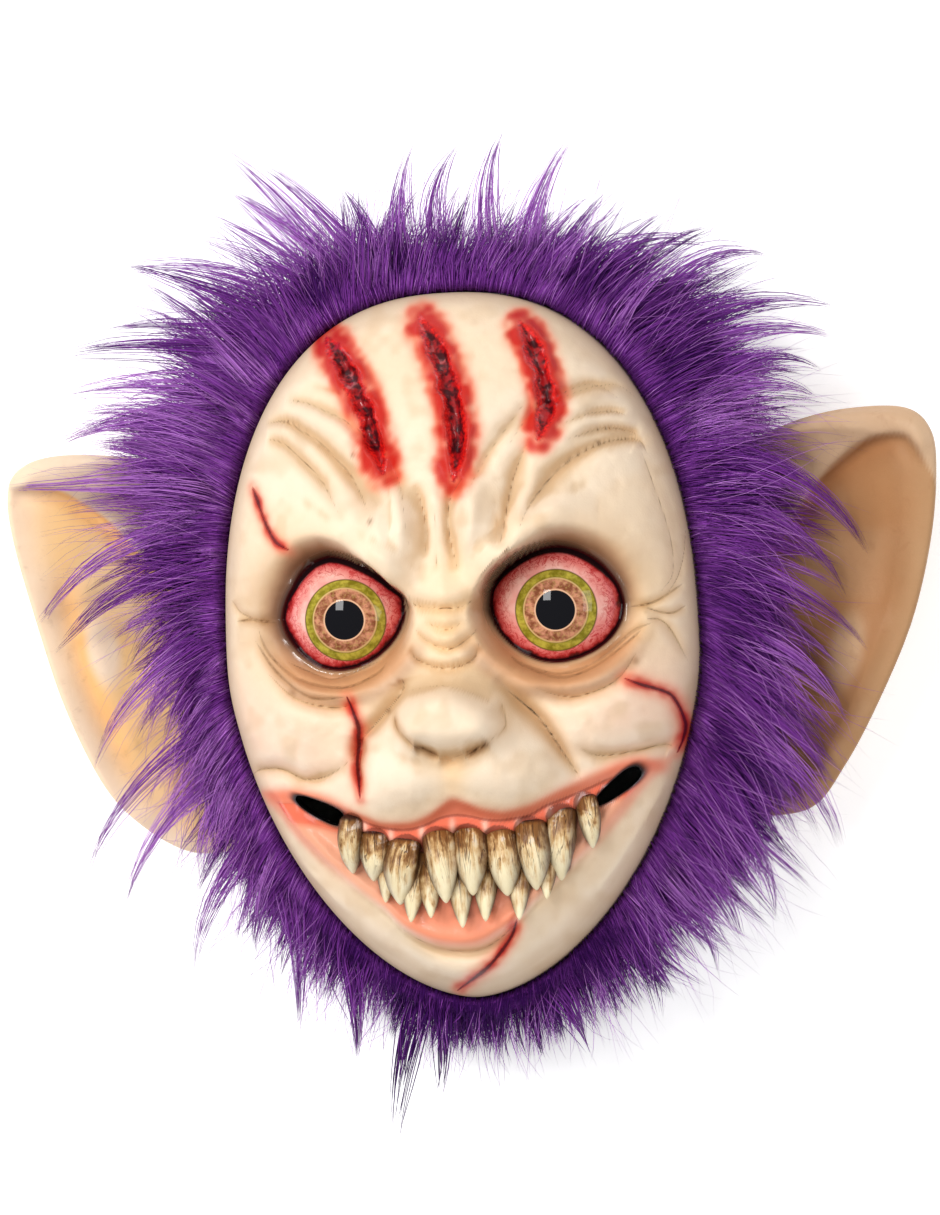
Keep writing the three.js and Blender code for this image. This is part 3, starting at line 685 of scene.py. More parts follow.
def toothSpace(x, y):
    # Distance outside the nearest fang of the front rank and of the back rank. A fang is a rod that narrows.
    ranks = []
    for rank in (frontFangs, backFangs):
        nearest = np.full(x.shape, 12.0)
        for root, tip, width, _ in rank:
            top, low = [root[0], root[1] - 0.4 * width], [mix(root[i], tip[i], 0.8) for i in (0, 1)]
            gap, along, _ = nearLine(np.array([top, low]), x, y, 14)
            nearest = np.minimum(nearest, np.maximum(gap - 0.48 * width * (1 - 0.45 * along), 0))
        ranks.append(nearest)
    return ranks


def mouthHeight(x, y):
    # The lip turns in over its band, the gum swells below it, and the lower lip rises to a rounded edge
    _, _, gums, aboveLower, belowUpper, belowGum = mouthParts(x, y)
    inside = window(x, -76, -70, 70, 76)
    wide = 1 - smooth(np.abs(x), 52, 74)
    turnIn = -1.5 * smooth(belowUpper, -0.6, 4.4) * smooth(aboveLower, 2, 9) * inside * mix(0.35, 1, wide)
    swell = 1.6 * bell(belowGum - 3.4, 2.6) * gums * wide
    hollow = -2.4 * smooth(belowGum, 5, 10) * smooth(aboveLower, 3, 15) * inside * wide
    rim = 0.5 * bell(belowUpper + 1.4, 2.6) * inside * wide
    lowerRoll = 2.4 * bell(aboveLower - 5, 4.5) * inside * mix(0.4, 1, wide)
    edge = -1.2 * bell(aboveLower + 1.2, 1.8) * inside * bell(x - 1, 32)
    papillae = sum(mound((gx, gy + 1, 1.9, 3.6, 1.0, 0, 1), x, y) for gx, gy in toothGaps) * gums
    return turnIn + swell + hollow + rim + lowerRoll + edge + papillae


# Fangs: root and tip, width at the gum and sideways bend of the point. The back rank is slimmer and lower.
frontFangs = [
    ([-41.2, -62.5], [-42, -85], 8.8, -0.6),
    ([-32.2, -68.5], [-33.8, -88], 10.4, 0.4),
    ([-20.3, -71.5], [-23.7, -97], 12.6, -0.6),
    ([-8.2, -68.8], [-5.4, -96.5], 11.8, 0.8),
    ([3.6, -68.3], [4.9, -94], 11.8, 0.5),
    ([15, -69.5], [17.6, -95], 12.4, 0.6),
    ([26.6, -66.3], [28.2, -93.5], 11.8, 0.6),
    ([38.7, -62.3], [37.4, -90.5], 11.2, -0.5),
    ([47.6, -58.2], [49.6, -79], 8.2, 0.8),
]
backFangs = [
    ([-27, -72], [-29.4, -96], 8, 0),
    ([-15.4, -77], [-19.6, -103.5], 8.8, -0.5),
    ([-13, -78], [-11.6, -102], 8.2, 0.4),
    ([-1.8, -76], [0.4, -106], 9.2, 0.3),
    ([9.6, -76], [9, -104], 9, -0.2),
    ([21.4, -75], [21.6, -104], 8.8, 0.3),
    ([33, -71], [32, -97], 8, -0.3),
]


def skinHeight(x, y):
    # Crowned base, masses, sockets drawn down to the lids, then brow lobes, folds, mouth and wounds
    share = np.minimum(np.hypot(x, y) / outlineRadius(np.arctan2(y, x)), 1)
    base = face["edgeHeight"] + face["rise"] * np.maximum(1 - share**2.4, 0) ** 0.62
    fade, nearEdge = smooth(1 - share, 0, 0.1), smooth(1 - share, 0, 0.05)
    full = base + fade * (mounds(masses, x, y) + mounds(pairedMasses, x, y, True) + mounds(browMasses, x, y))
    full = full + fade * mounds(bagMasses, x, y, True)
    outside, lidHeight, width, _ = lidSpace(x, y)
    lid = lidHeight + 0.3 + 0.9 * bell(outside - 1.5, 1.1) - 0.9 * np.maximum(-outside, 0)
    skin = mix(lid, full, smooth(outside, 0.6, width) ** 0.8)
    skin = np.maximum(skin, np.minimum(full, 84))
    away = smooth(outside, 0.5, 3.5)
    gap, depth, _ = woundSpace(x, y, gashes)
    trench = -0.7 * depth * (1 - smooth(gap, -3, 0.9)) * (1 + 0.3 * grain(x, y, 5, 7))
    torn = 0.4 * depth * bell(gap - 1.6, 1.4) * (0.8 + 0.5 * grain(x, y, 5, 8))
    trench = trench - 0.35 * bell(cutSpace(x, y), 2.4)
    fine = foldHeight(x, y) + mouthHeight(x, y) + skinGrain(x, y)
    return skin + nearEdge * (away * fine + trench + torn)


def liningHeight(x, y):
    # The lowest skin within a centimetre, less the wall
    lowest = skinHeight(x, y)
    for reach in (5, 10):
        for step in range(8):
            a = step * math.pi / 4
            lowest = np.minimum(lowest, skinHeight(x + reach * math.cos(a), y + reach * math.sin(a)))
    return lowest - face["wall"]


def facePlan(rings, wallRings, inset):
    # A square grid pressed onto the face: its squares become rings, and the outer ones run down the wall.
    # The results are x, y, the share of the way down the wall and the height on the wall.
    steps = np.arange(-rings - wallRings, rings + wallRings + 1)
    u, v = np.meshgrid(steps, steps)
    square = np.maximum(np.abs(u), np.abs(v))
    sideX, sideY = u / np.maximum(square, 1), v / np.maximum(square, 1)
    angle = np.arctan2(sideY * np.sqrt(1 - sideX**2 / 2), sideX * np.sqrt(1 - sideY**2 / 2))
    ring = np.minimum(square / rings, 1)
    down = np.maximum(square - rings, 0) / wallRings
    radius = (outlineRadius(angle) - inset) * mix(ring, np.sin(ring * math.pi / 2), 0.35)
    wallZ = face["edgeHeight"] * (1 - down)
    radius = np.where(down > 0, wallRadius(angle, wallZ) - inset, radius)
    return (radius * np.cos(angle)).ravel(), (radius * np.sin(angle)).ravel(), down.ravel(), wallZ.ravel()


def edgeLoop(side):
    # Numbers of a square grid's outer points, once round, counter-clockwise
    k = np.arange(side - 1)
    return np.concatenate([k, k * side + side - 1, side * side - 1 - k, (side - 1 - k) * side])


def creaseWash(x, y):
    # Distance to the nearest painted crease line, in half widths of that line, and the soft brown painted
    # shade beside it
    nearest, shade = np.full(x.shape, 6.0), np.zeros(x.shape)
    for line, width, _, wash in folds:
        if wash:
            gap, along, _ = nearLine(line, x, y, 9)
            ends = window(along, 0, 0.15, 0.85, 1)
            nearest = np.minimum(nearest, gap / (0.16 + 0.5 * wash * ends))
            shade = np.maximum(shade, (0.25 + 0.75 * wash) * ends * bell(gap, 1.2 + 0.5 * width))
    return nearest, shade


# Small dark touches of paint: x, y and radius
touches = [
    (-73, 12.5, 2.2), (-61, -15, 1.8), (-14, -1.2, 1.5), (12, -1.8, 1.6), (25, -8, 1.5),
     (-33.5, 73.5, 0.9),
    (58.5, 74, 0.9), (-26, 47.5, 1.0), (73.5, 11.5, 2.0), (-15, 16, 1.2), (69, -9, 1.8),
     (-12, -37.2, 1.2),
    (13.5, -37, 1.2), (-19, -12.5, 1.2), (-24, -23.5, 1.0),
]
# Painted lines under the nostrils and round the wing of the nose
nostrils = [
    [[-12.5, -37], [-9, -38.3], [-6.5, -40.2], [-3, -41.6]],
    [[5.5, -40.6], [8.5, -39.7], [12, -37.8], [15.5, -36.2]],
    [[-20.5, -25.5], [-20, -29], [-17.5, -32.5], [-15, -34.5], [-12.5, -36]],
]
facePaint = {
    "skin": (241, 218, 188),
    # Painted highlight on the brow, on the muzzle and on every rise
    "pale": (250, 234, 212),
    "edge": (218, 195, 165),
    # The next two are painted shade: beside the creases and nostrils, and in the hollows, where the second is
    # also a random mottle
    "wash": (196, 156, 110),
    "hollow": (214, 184, 146),
    "touch": (112, 76, 48),
    # Painted shade round the fangs and along the top of the gum
    "toothShade": (92, 40, 24),
    "jaw": (236, 214, 184),
    "cheek": (253, 216, 192),
    # Tan: the nose's own colour, and painted shadow round the eyes
    "tan": (247, 206, 150),
    "bag": (206, 146, 100),
    # The next three are painted shade and shadow: in the fold under the bags, and round the eyes
    "bagShade": (160, 104, 70),
    "socket": (140, 92, 62),
    "socketDeep": (62, 36, 30),
    "lid": (62, 8, 12),
    "lip": (244, 152, 118),
    "lipPale": (234, 184, 152),
    # Painted shade on the turned-in upper lip
    "lipShade": (222, 118, 88),
    "gum": (250, 116, 84),
    # Painted shade at the top of the gum and deep in the mouth
    "gumShade": (196, 84, 60),
    # Painted highlight on the gum between the fangs
    "gumHighlight": (255, 204, 182),
    "corner": (236, 120, 86),
    # The next two are painted shade: black in the breathing slits and dark red-brown round them
    "slit": (12, 6, 6),
    "slitEdgeShade": (150, 62, 40),
    "spray": (194, 18, 8),
    "sprayPale": (242, 112, 74),
    "lining": (128, 108, 90),
}


def cavity(heights, side, reach):
    # Height above the mean of the square of points within reach, taken from running sums over the grid
    grid = np.pad(heights.reshape(side, side), reach, mode="edge")
    sums = np.pad(grid.cumsum(0).cumsum(1), ((1, 0), (1, 0)))
    width = 2 * reach + 1
    block = sums[width:, width:] - sums[:-width, width:] - sums[width:, :-width] + sums[:-width, :-width]
    return heights - (block / width**2).ravel()


def slitAxes(turn):
    return math.cos(math.radians(turn)), math.sin(math.radians(turn))


def slitSpace(x, y):
    # Distance outside the nearest breathing slit, negative inside it
    nearest = np.full(x.shape, 99.0)
    power = slitShape["power"]
    for (cx, cy), turn, length, width in slits:
        c, s = slitAxes(turn)
        along, across = (x - cx) * c + (y - cy) * s, (y - cy) * c - (x - cx) * s
        tall = 1 + slitShape["flare"] * np.clip(along / (length / 2), -1, 1)
        reach = np.abs(along / (length / 2)) ** power + np.abs(across / (width / 2 * tall)) ** power
        nearest = np.minimum(nearest, (reach ** (1 / power) - 1) * width / 2)
    return nearest


def slitOutline(centre, turn, length, width):
    # A superellipse that is taller towards its outer end, turned and moved into place
    a = np.linspace(0, 2 * math.pi, slitShape["corners"], endpoint=False)
    cosine, sine = (np.sign(v) * np.abs(v) ** (2 / slitShape["power"]) for v in (np.cos(a), np.sin(a)))
    ex, ey = length / 2 * cosine, width / 2 * sine * (1 + slitShape["flare"] * cosine)
    c, s = slitAxes(turn)
    return centre[0] + ex * c - ey * s, centre[1] + ex * s + ey * c


def paintFace(x, y, fine, broad):
    # Airbrushed layers, one over the other, each with a soft mask, some of them painted light and shade. fine
    # and broad are heights over the mean nearby: hollows get a brown painted shade, and rises a pale painted
    # highlight.
    tones = {key: linear(*value) for key, value in facePaint.items()}
    share = np.hypot(x, y) / outlineRadius(np.arctan2(y, x))
    colour = np.tile(tones["skin"], (len(x), 1))

    def layer(name, mask):
        nonlocal colour
        colour = mix(colour, tones[name], np.clip(mask, 0, 1)[:, None])

    cloud = 0.5 + 0.5 * grain(x, y, 22, 11)
    # Painted highlights: paler over the brow and on the two mounds of the muzzle
    layer("pale", 0.55 * bell(np.hypot((x + 4) / 62, (y - 52) / 44), 1) * (0.6 + 0.4 * cloud))
    layer("pale", 0.55 * bell(np.hypot((np.abs(x) - 24) / 15, (y + 44) / 12), 1))
    layer("cheek", 0.75 * bell(np.hypot((np.abs(x) - 66) / 24, (y + 24) / 22), 1))
    layer("cheek", 0.5 * bell(np.hypot((x + 60) / 22, (y + 52) / 14), 1))
    layer("jaw", 0.9 * smooth(-y - 0.55 * np.abs(x), 36, 74))
    layer("edge", 0.85 * smooth(share, 0.9, 1.0))
    offEdge = smooth(1 - share, 0.02, 0.08)
    # Painted highlight on the rises, then painted shade in the broad and the fine hollows
    layer("pale", 0.4 * offEdge * smooth(broad, 0.1, 1.2))
    layer("hollow", 0.62 * offEdge * smooth(-broad, 0.05, 2.2))
    layer("hollow", 0.62 * offEdge * smooth(-fine, 0.03, 0.5))
    # A random mottle in the same tan
    layer("hollow", 0.45 * smooth(grain(x, y, 9, 63) + 0.5 * grain(x, y, 4.2, 64), 0.1, 1.1))
    # Soft brown painted shade beside the creases
    layer("wash", 0.6 * creaseWash(x, y)[1])
    # Dark lines under the nostrils and round the wing of the nose, with soft painted shade round them
    for row in nostrils:
        gap, along, _ = nearLine(softCurve(row, 5), x, y, 4)
        layer("touch", 0.55 * bell(gap, 0.8) * window(along, 0, 0.15, 0.8, 1))
        layer("wash", 0.6 * bell(gap, 2.0))
    for cx, cy, size in touches:
        layer("touch", 0.75 * bell(np.hypot(x - cx, y - cy) * (1 + 0.3 * grain(x, y, 1.5, 61)), size))
    # Painted shade in the groove beside the nose on the mask's left
    layer("wash", 0.4 * bell(np.hypot((x - 24) / 6, (y + 24) / 14), 1))
    layer("tan", 0.55 * bell(np.hypot(x / 13, (y - 4) / 13), 1))
    layer("tan", 0.45 * bell(np.hypot((x - 0.5) / 5, (y + 49) / 9), 1))
    layer("tan", 0.3 * bell(np.hypot((x - 2) / 9, (y - 24) / 14), 1))
    outside, _, _, angle = lidSpace(x, y)
    outer = smooth(np.cos(angle), -0.2, 0.8)
    lower = smooth(-np.sin(angle), 0.1, 0.7)
    inner = smooth(-np.cos(angle), 0.3, 0.9)
    beyond = np.maximum(outside, 0)
    reach = np.where(x > 0, around(shadeReach[0], angle), around(shadeReach[1], angle))
    deep = np.where(x > 0, around(shadeDepth[0], angle), around(shadeDepth[1], angle))
    # Round the eyes: painted shadow, tan further out and dark brown close to the lids as the tables give,
    # then the bags' own orange tan with painted shade in the fold below, and the dark maroon rim of the lid
    layer("tan", 0.75 * bell(beyond, 14 - 5 * inner) * (0.3 + 0.7 * np.maximum(lower, outer)))
    layer("bag", 0.8 * lower * window(outside, 0.5, 3, 8.5, 13))
    layer("bagShade", 0.5 * lower * bell(outside - 12.5, 2.6))
    layer("socket", 0.95 * deep * bell(beyond, reach))
    layer("socketDeep", 0.9 * deep * bell(beyond, 0.38 * reach))
    layer("socketDeep", 0.5 * bell(beyond, 1.2))
    layer("lid", 1 - smooth(outside, 0.4, 1.1))
    mouth, band, gums, aboveLower, belowUpper, belowGum = mouthParts(x, y)
    halo = bell(np.maximum(-belowUpper, 0), 2.6) * smooth(aboveLower, 0, 4) * smooth(belowUpper, -9, -1)
    ends = smooth(np.abs(x), 36, 66)
    layer("lip", 0.75 * halo * (0.35 + 0.65 * ends) * (np.abs(x) < 80))
    layer("lip", mouth * (0.72 + 0.28 * smooth(aboveLower, -1, 6)))
    layer("lipPale", 0.6 * mouth * smooth(belowGum, 4, 14) * smooth(np.abs(x + 4), 14, 34))
    layer("corner", 0.7 * ends * bell(belowUpper, 3) * smooth(82 - np.abs(x), 0, 8))
    layer("corner", 0.5 * ends * bell(aboveLower, 3) * smooth(82 - np.abs(x), 0, 8))
    # Painted shade on the turned-in upper lip, under the muzzle
    layer("lipShade", 0.85 * band * (1 - 0.7 * ends) * mix(0.8, 1, bell(x, 22)))
    layer("gum", 0.95 * gums * smooth(belowGum, 0, 1.2))
    # Painted shade along the top of the gum, under the lip
    layer("toothShade", 0.75 * (np.abs(x) < 58) * bell(belowGum, 0.55) * (0.5 + 0.5 * grain(x, y, 5, 65)))
    # Painted shade at the top of the gum
    layer("gumShade", 0.8 * gums * bell(belowGum, 0.9))
    # Painted highlights on the gum between the fangs
    for gx, gy in toothGaps:
        layer("gumHighlight", 0.85 * gums * bell(np.hypot((x - gx) / 1.2, (y - gy - 2.5) / 3.4), 1))
    # Painted shade deep in the mouth, behind the fangs
    layer("gumShade", 0.55 * mouth * smooth(belowGum, 7, 15) * smooth(aboveLower, 12, 26))
    blurred = 0.5 + 0.5 * grain(x, y, 3.3, 62)
    frontGap, backGap = toothSpace(x, y)
    below = smooth(belowGum, 2, 7)
    # Painted shade round the fangs, between them and under the back rank
    layer("toothShade", 0.55 * bell(frontGap, 0.9) * (0.35 + 0.65 * below))
    below = below * (1 - smooth(x, 20, 30))
    layer("toothShade", 0.6 * bell(backGap, 1.2) * below)
    layer("toothShade", 0.4 * blurred * bell(np.minimum(frontGap, backGap), 2.4) * below)
    blotch = 0.5 + 0.5 * (0.6 * grain(x, y, 4.5, 21) + 0.4 * grain(x, y, 2.6, 22))
    spray = woundSpace(x, y, gashes)[2] * (0.5 + blotch)
    layer("sprayPale", 0.8 * smooth(spray, 0.05, 0.7))
    layer("spray", 0.95 * smooth(spray, 0.3, 0.95))
    spray = woundSpace(x, y, smallCuts)[2] * (0.45 + 0.8 * blotch)
    layer("sprayPale", 0.75 * np.minimum(spray, 1))
    layer("spray", 0.8 * smooth(spray, 0.35, 1.3))
    # Painted shade: the skin turns dark round the breathing slits and black at their edges
    layer("slitEdgeShade", 0.6 * (1 - smooth(slitSpace(x, y), 0.4, 1.5)))
    layer("slit", 1 - smooth(slitSpace(x, y), 0.1, 1.0))
    return colour


def cutThrough(piece, tool):
    # Takes the tool's space out of the piece, then drops the tool
    modifier = piece.modifiers.new("cut", "BOOLEAN")
    modifier.operation, modifier.solver, modifier.object = "DIFFERENCE", "MANIFOLD", tool
    bpy.context.view_layer.update()
    whole = bpy.data.meshes.new_from_object(piece.evaluated_get(bpy.context.evaluated_depsgraph_get()))
    old = piece.data
    piece.modifiers.clear()
    piece.data = whole
    whole.name = old.name
    bpy.data.meshes.remove(old)
    bpy.data.objects.remove(tool)


def tube(outline, low, high):
    # A closed upright tool with the given outline
    count = len(outline[0])
    points = np.vstack([np.column_stack([*outline, np.full(count, z)]) for z in (low, high)])
    sides = gridFaces(2, count, wrapColumns=True)
    caps = np.array([np.arange(count)[::-1], np.arange(count, 2 * count)])
    mesh = bpy.data.meshes.new("opening")
    mesh.from_pydata((points * 0.001).tolist(), [], sides.tolist() + caps.tolist())
    tool = bpy.data.objects.new("opening", mesh)
    bpy.context.scene.collection.objects.link(tool)
    return tool


def paintCuts(mesh):
    # Points that the openings added carry no values, so their woundGap is exactly 0: they are painted nearly
    # black, painted shade on the openings' walls
    gap = np.empty(len(mesh.vertices), np.float32)
    mesh.attributes["woundGap"].data.foreach_get("value", gap)
    fresh = gap == 0
    for key in ("woundGap", "washGap", "cutGap", "toothGap", "gumGap"):
        mesh.attributes[key].data.foreach_get("value", gap)
        mesh.attributes[key].data.foreach_set("value", np.where(fresh, np.float32(6), gap))
    rows = np.empty(4 * len(gap), np.float32)
    mesh.attributes["paint"].data.foreach_get("color", rows)
    rows = np.where(fresh[:, None], np.array([*linear(*facePaint["slit"]), 1]), rows.reshape(-1, 4))
    mesh.attributes["paint"].data.foreach_set("color", rows.ravel().astype(np.float32))


def openRims(side, liningSide, first):
    # Faces that join the skin's outer edge to the lining's, where the skin has more points by a whole factor
    outerRim, liningRim = edgeLoop(side), edgeLoop(liningSide) + first
    every = len(outerRim) // len(liningRim)
    start = every * np.arange(len(liningRim))
    fans = [
        np.column_stack([liningRim, outerRim[(start + s + 1) % len(outerRim)], outerRim[start + s]])
        for s in range(every)
    ]
    ends = outerRim[(start + every) % len(outerRim)]
    return [*fans, np.column_stack([liningRim, np.roll(liningRim, -1), ends])]


def makeFace():
    # The painted skin, the plain lining a wall below it, and the faces that join their edges on the ground
    rings, wallRings, liningRings = face["capRings"], face["wallRings"], face["liningRings"]
    x, y, down, wallZ = facePlan(rings, wallRings, 0)
    z = np.where(down > 0, wallZ, skinHeight(x, y))
    outer = np.column_stack([x, y, z])
    lx, ly, ldown, lwallZ = facePlan(liningRings - wallRings, wallRings, face["wall"])
    wallTop = face["edgeHeight"] - face["wall"]
    lz = np.where(ldown > 0, np.minimum(lwallZ, wallTop), liningHeight(lx, ly))
    lining = np.column_stack([lx, ly, lz])
    side, liningSide = 2 * (rings + wallRings) + 1, 2 * liningRings + 1
    first = len(outer)
    skinFaces, liningFaces = gridFaces(side, side), gridFaces(liningSide, liningSide, first=first)[:, ::-1]
    faces = [skinFaces, liningFaces, *openRims(side, liningSide, first)]
    outside, _, _, _ = lidSpace(x, y)
    mouth, _, gums, _, _, belowGum = mouthParts(x, y)
    wet = np.maximum(1 - smooth(outside, 1.8, 3.2), 0.75 * gums)
    # Each value over the skin, and the plain one of the lining
    over = {
        "woundGap": (woundSpace(x, y, gashes)[0], 60),
        "gumGap": (belowGum, 6),
        "grin": (smooth(57 - np.abs(x), 0, 6) * bell(belowGum, 3), 0),
        "toothGap": (toothSpace(x, y)[0], 6),
        "washGap": (creaseWash(x, y)[0], 6),
        "cutGap": (cutSpace(x, y), 6),
        "wet": (np.maximum(wet, 0.1 * mouth), 0),
    }
    values = {key: np.append(value, np.full(len(lining), plain)) for key, (value, plain) in over.items()}
    # The lining under the slits is painted black: painted shade inside the mask
    dark = (1 - smooth(slitSpace(lx, ly), 2, 8))[:, None]
    lined = mix(linear(*facePaint["lining"]), linear(*facePaint["slit"]), dark)
    hollows = [cavity(z, side, reach) * (down == 0) for reach in (3, 9)]
    shade = {"paint": np.vstack([paintFace(x, y, *hollows), lined])}
    piece = makePiece("latexSkin", np.vstack([outer, lining]), faces, ["latex_face"], values, shade)
    for slit in slits:
        cutThrough(piece, tube(slitOutline(*slit), slitShape["cutLow"], slitShape["cutHigh"]))
    a = np.linspace(0, 2 * math.pi, eye["holeCorners"], endpoint=False)
    for turn in (-1, 1):
        hole = turn * eye["spread"] + eye["hole"] * np.cos(a), eye["height"] + eye["hole"] * np.sin(a)
        cutThrough(piece, tube(hole, eye["holeLow"], eye["holeHigh"]))
    paintCuts(piece.data)
    piece.data.set_sharp_from_angle(angle=math.radians(face["sharpAngle"]))
    return piece


def latexFinish():
    # Airbrushed latex: mottled skin, a dark broken line in the creases that is partly airbrushed and partly
    # painted shade, painted shade along the gum line and round the fang roots, raw red cuts with dark wet
    # middles
    skin = Finish("paintedLatex", {"Roughness": 0.45, "Specular IOR Level": 0.4, "Coat Roughness": 0.08})
    paint = skin.attribute("paint", "Color")
    wet = skin.attribute("wet")
    gap, wash = skin.attribute("woundGap"), skin.attribute("washGap")
    mottle, speck, fine = skin.noise(14, 4), skin.noise(1.4, 2), skin.noise(0.7, 3)
    tone = skin.blend((mottle - 0.5) * 0.35 + 0.12, paint, (0.86, 0.62, 0.42), "MULTIPLY")
    brush, run = skin.noise(2.4, 4, source=skin.shifted((3, 1, 2))), skin.noise(13, 2)
    broken = brush.ramp(0.42, 0.62) * run.ramp(0.4, 0.6)
    # A dark broken line along each crease: partly the mask's airbrushed line, partly painted shade in the
    # crease
    crease = (1 - (wash + (brush - 0.5) * 1.6).ramp(0.3, 1.3)) * (0.4 + 0.6 * broken)
    tone = skin.blend(crease * 0.7, tone, linear(104, 72, 44))
    torn = gap + (speck - 0.5) * 1.3 + (mottle - 0.5) * 0.8
    raw = 1 - torn.ramp(0.1, 1.5)
    deep = 1 - torn.ramp(-1.3, -0.1)
    clots = skin.noise(3.6, 2, source=skin.shifted((1, 9, 4))).ramp(0.4, 0.62)
    flesh = skin.blend(speck.ramp(0.35, 0.65), linear(164, 6, 8), linear(222, 24, 16))
    pit = skin.blend(clots, linear(62, 0, 8), linear(164, 4, 12))
    tone = skin.blend(raw, tone, flesh)
    tone = skin.blend(deep, tone, pit)
    cut = skin.attribute("cutGap") + (speck - 0.5) * 0.8
    tone = skin.blend((1 - cut.ramp(0.8, 3.4)) * 0.8, tone, linear(172, 10, 8))
    tone = skin.blend((1 - cut.ramp(0.5, 1.5)) * 0.9, tone, linear(74, 0, 6))
    # Painted shade: a dark line where the lip turns in to the gum, and round each fang's root
    gumEdge = skin.attribute("gumGap") + (fine - 0.5) * 0.6
    toothEdge = skin.attribute("toothGap") + (fine - 0.5) * 0.5
    gumLine = (1 - (gumEdge * gumEdge).ramp(0.02, 0.5)) * skin.attribute("grin")
    tone = skin.blend(gumLine * 0.5, tone, linear(132, 48, 34))
    tone = skin.blend((1 - toothEdge.ramp(0.1, 0.65)) * 0.65, tone, linear(84, 34, 22))
    gloss = wet.most(raw * (0.15 + clots * 0.75))
    rough = 0.46 - 0.36 * wet + (mottle - 0.5) * 0.14
    pores = skin.noise(0.9, 2, 0.6)
    height = pores * 0.22 + mottle * 0.9 + clots * raw * 0.45 - crease * 0.5
    normal = skin.relief(height, 0.5, 0.6)
    return skin.finish(Base_Color=tone, Roughness=rough, Coat_Weight=gloss, Normal=normal)


skinPiece = makeFace()
skinPiece.data.materials.clear()
skinPiece.data.materials.append(latexFinish())
print("the latex face is made", len(skinPiece.data.vertices), "points")

# The eyes: thin glossy domes, open at the back


def domePoints(radius, fromAngle, toAngle, rings, steps):
    # Rings of a sphere, from one angle off the axis to another. The last sum gives each height a whole ring.
    a = np.linspace(fromAngle, toAngle, rings)[:, None]
    b = np.linspace(0, 2 * math.pi, steps, endpoint=False)[None, :]
    x, y, z = np.sin(a) * np.cos(b), np.sin(a) * np.sin(b), np.cos(a) + 0 * b
    return np.stack([radius * x, radius * y, radius * z], -1)


def makeEye(name, node, side):
    # An outer and an inner dome, each from a small ring at its top to the open back, joined by a flat rim
    outerTurn = math.acos(eye["back"] / eye["radius"])
    innerRadius = eye["radius"] - eye["wall"]
    innerTurn = math.acos(eye["back"] / innerRadius)
    steps, rings, innerRings, topTurn = 72, 30, 10, 0.03
    outer = domePoints(eye["radius"], topTurn, outerTurn, rings, steps).reshape(-1, 3)
    inner = domePoints(innerRadius, topTurn, innerTurn, innerRings, steps).reshape(-1, 3)
    tops = np.array([[0, 0, eye["radius"]], [0, 0, innerRadius]])
    points = np.vstack([outer, inner, tops])
    first, top = rings * steps, (rings + innerRings) * steps
    k = np.arange(steps)
    nxt = (k + 1) % steps
    lastOuter, lastInner = (rings - 1) * steps, first + (innerRings - 1) * steps
    faces = [
        gridFaces(rings, steps, wrapColumns=True)[:, ::-1],
        gridFaces(innerRings, steps, wrapColumns=True, first=first),
        np.column_stack([lastOuter + k, lastInner + k, lastInner + nxt, lastOuter + nxt]),
        np.column_stack([np.full(steps, top), k, nxt]),
        np.column_stack([np.full(steps, top + 1), first + nxt, first + k]),
    ]
    points += [side * eye["spread"], eye["height"], eye["centre"]]
    gap = -lidSpace(points[:, 0], points[:, 1])[0]
    piece = makePiece(name, points, faces, [node], {"lidGap": gap})
    piece.data.materials.append(eyeFinish(name + "Acrylic", side))


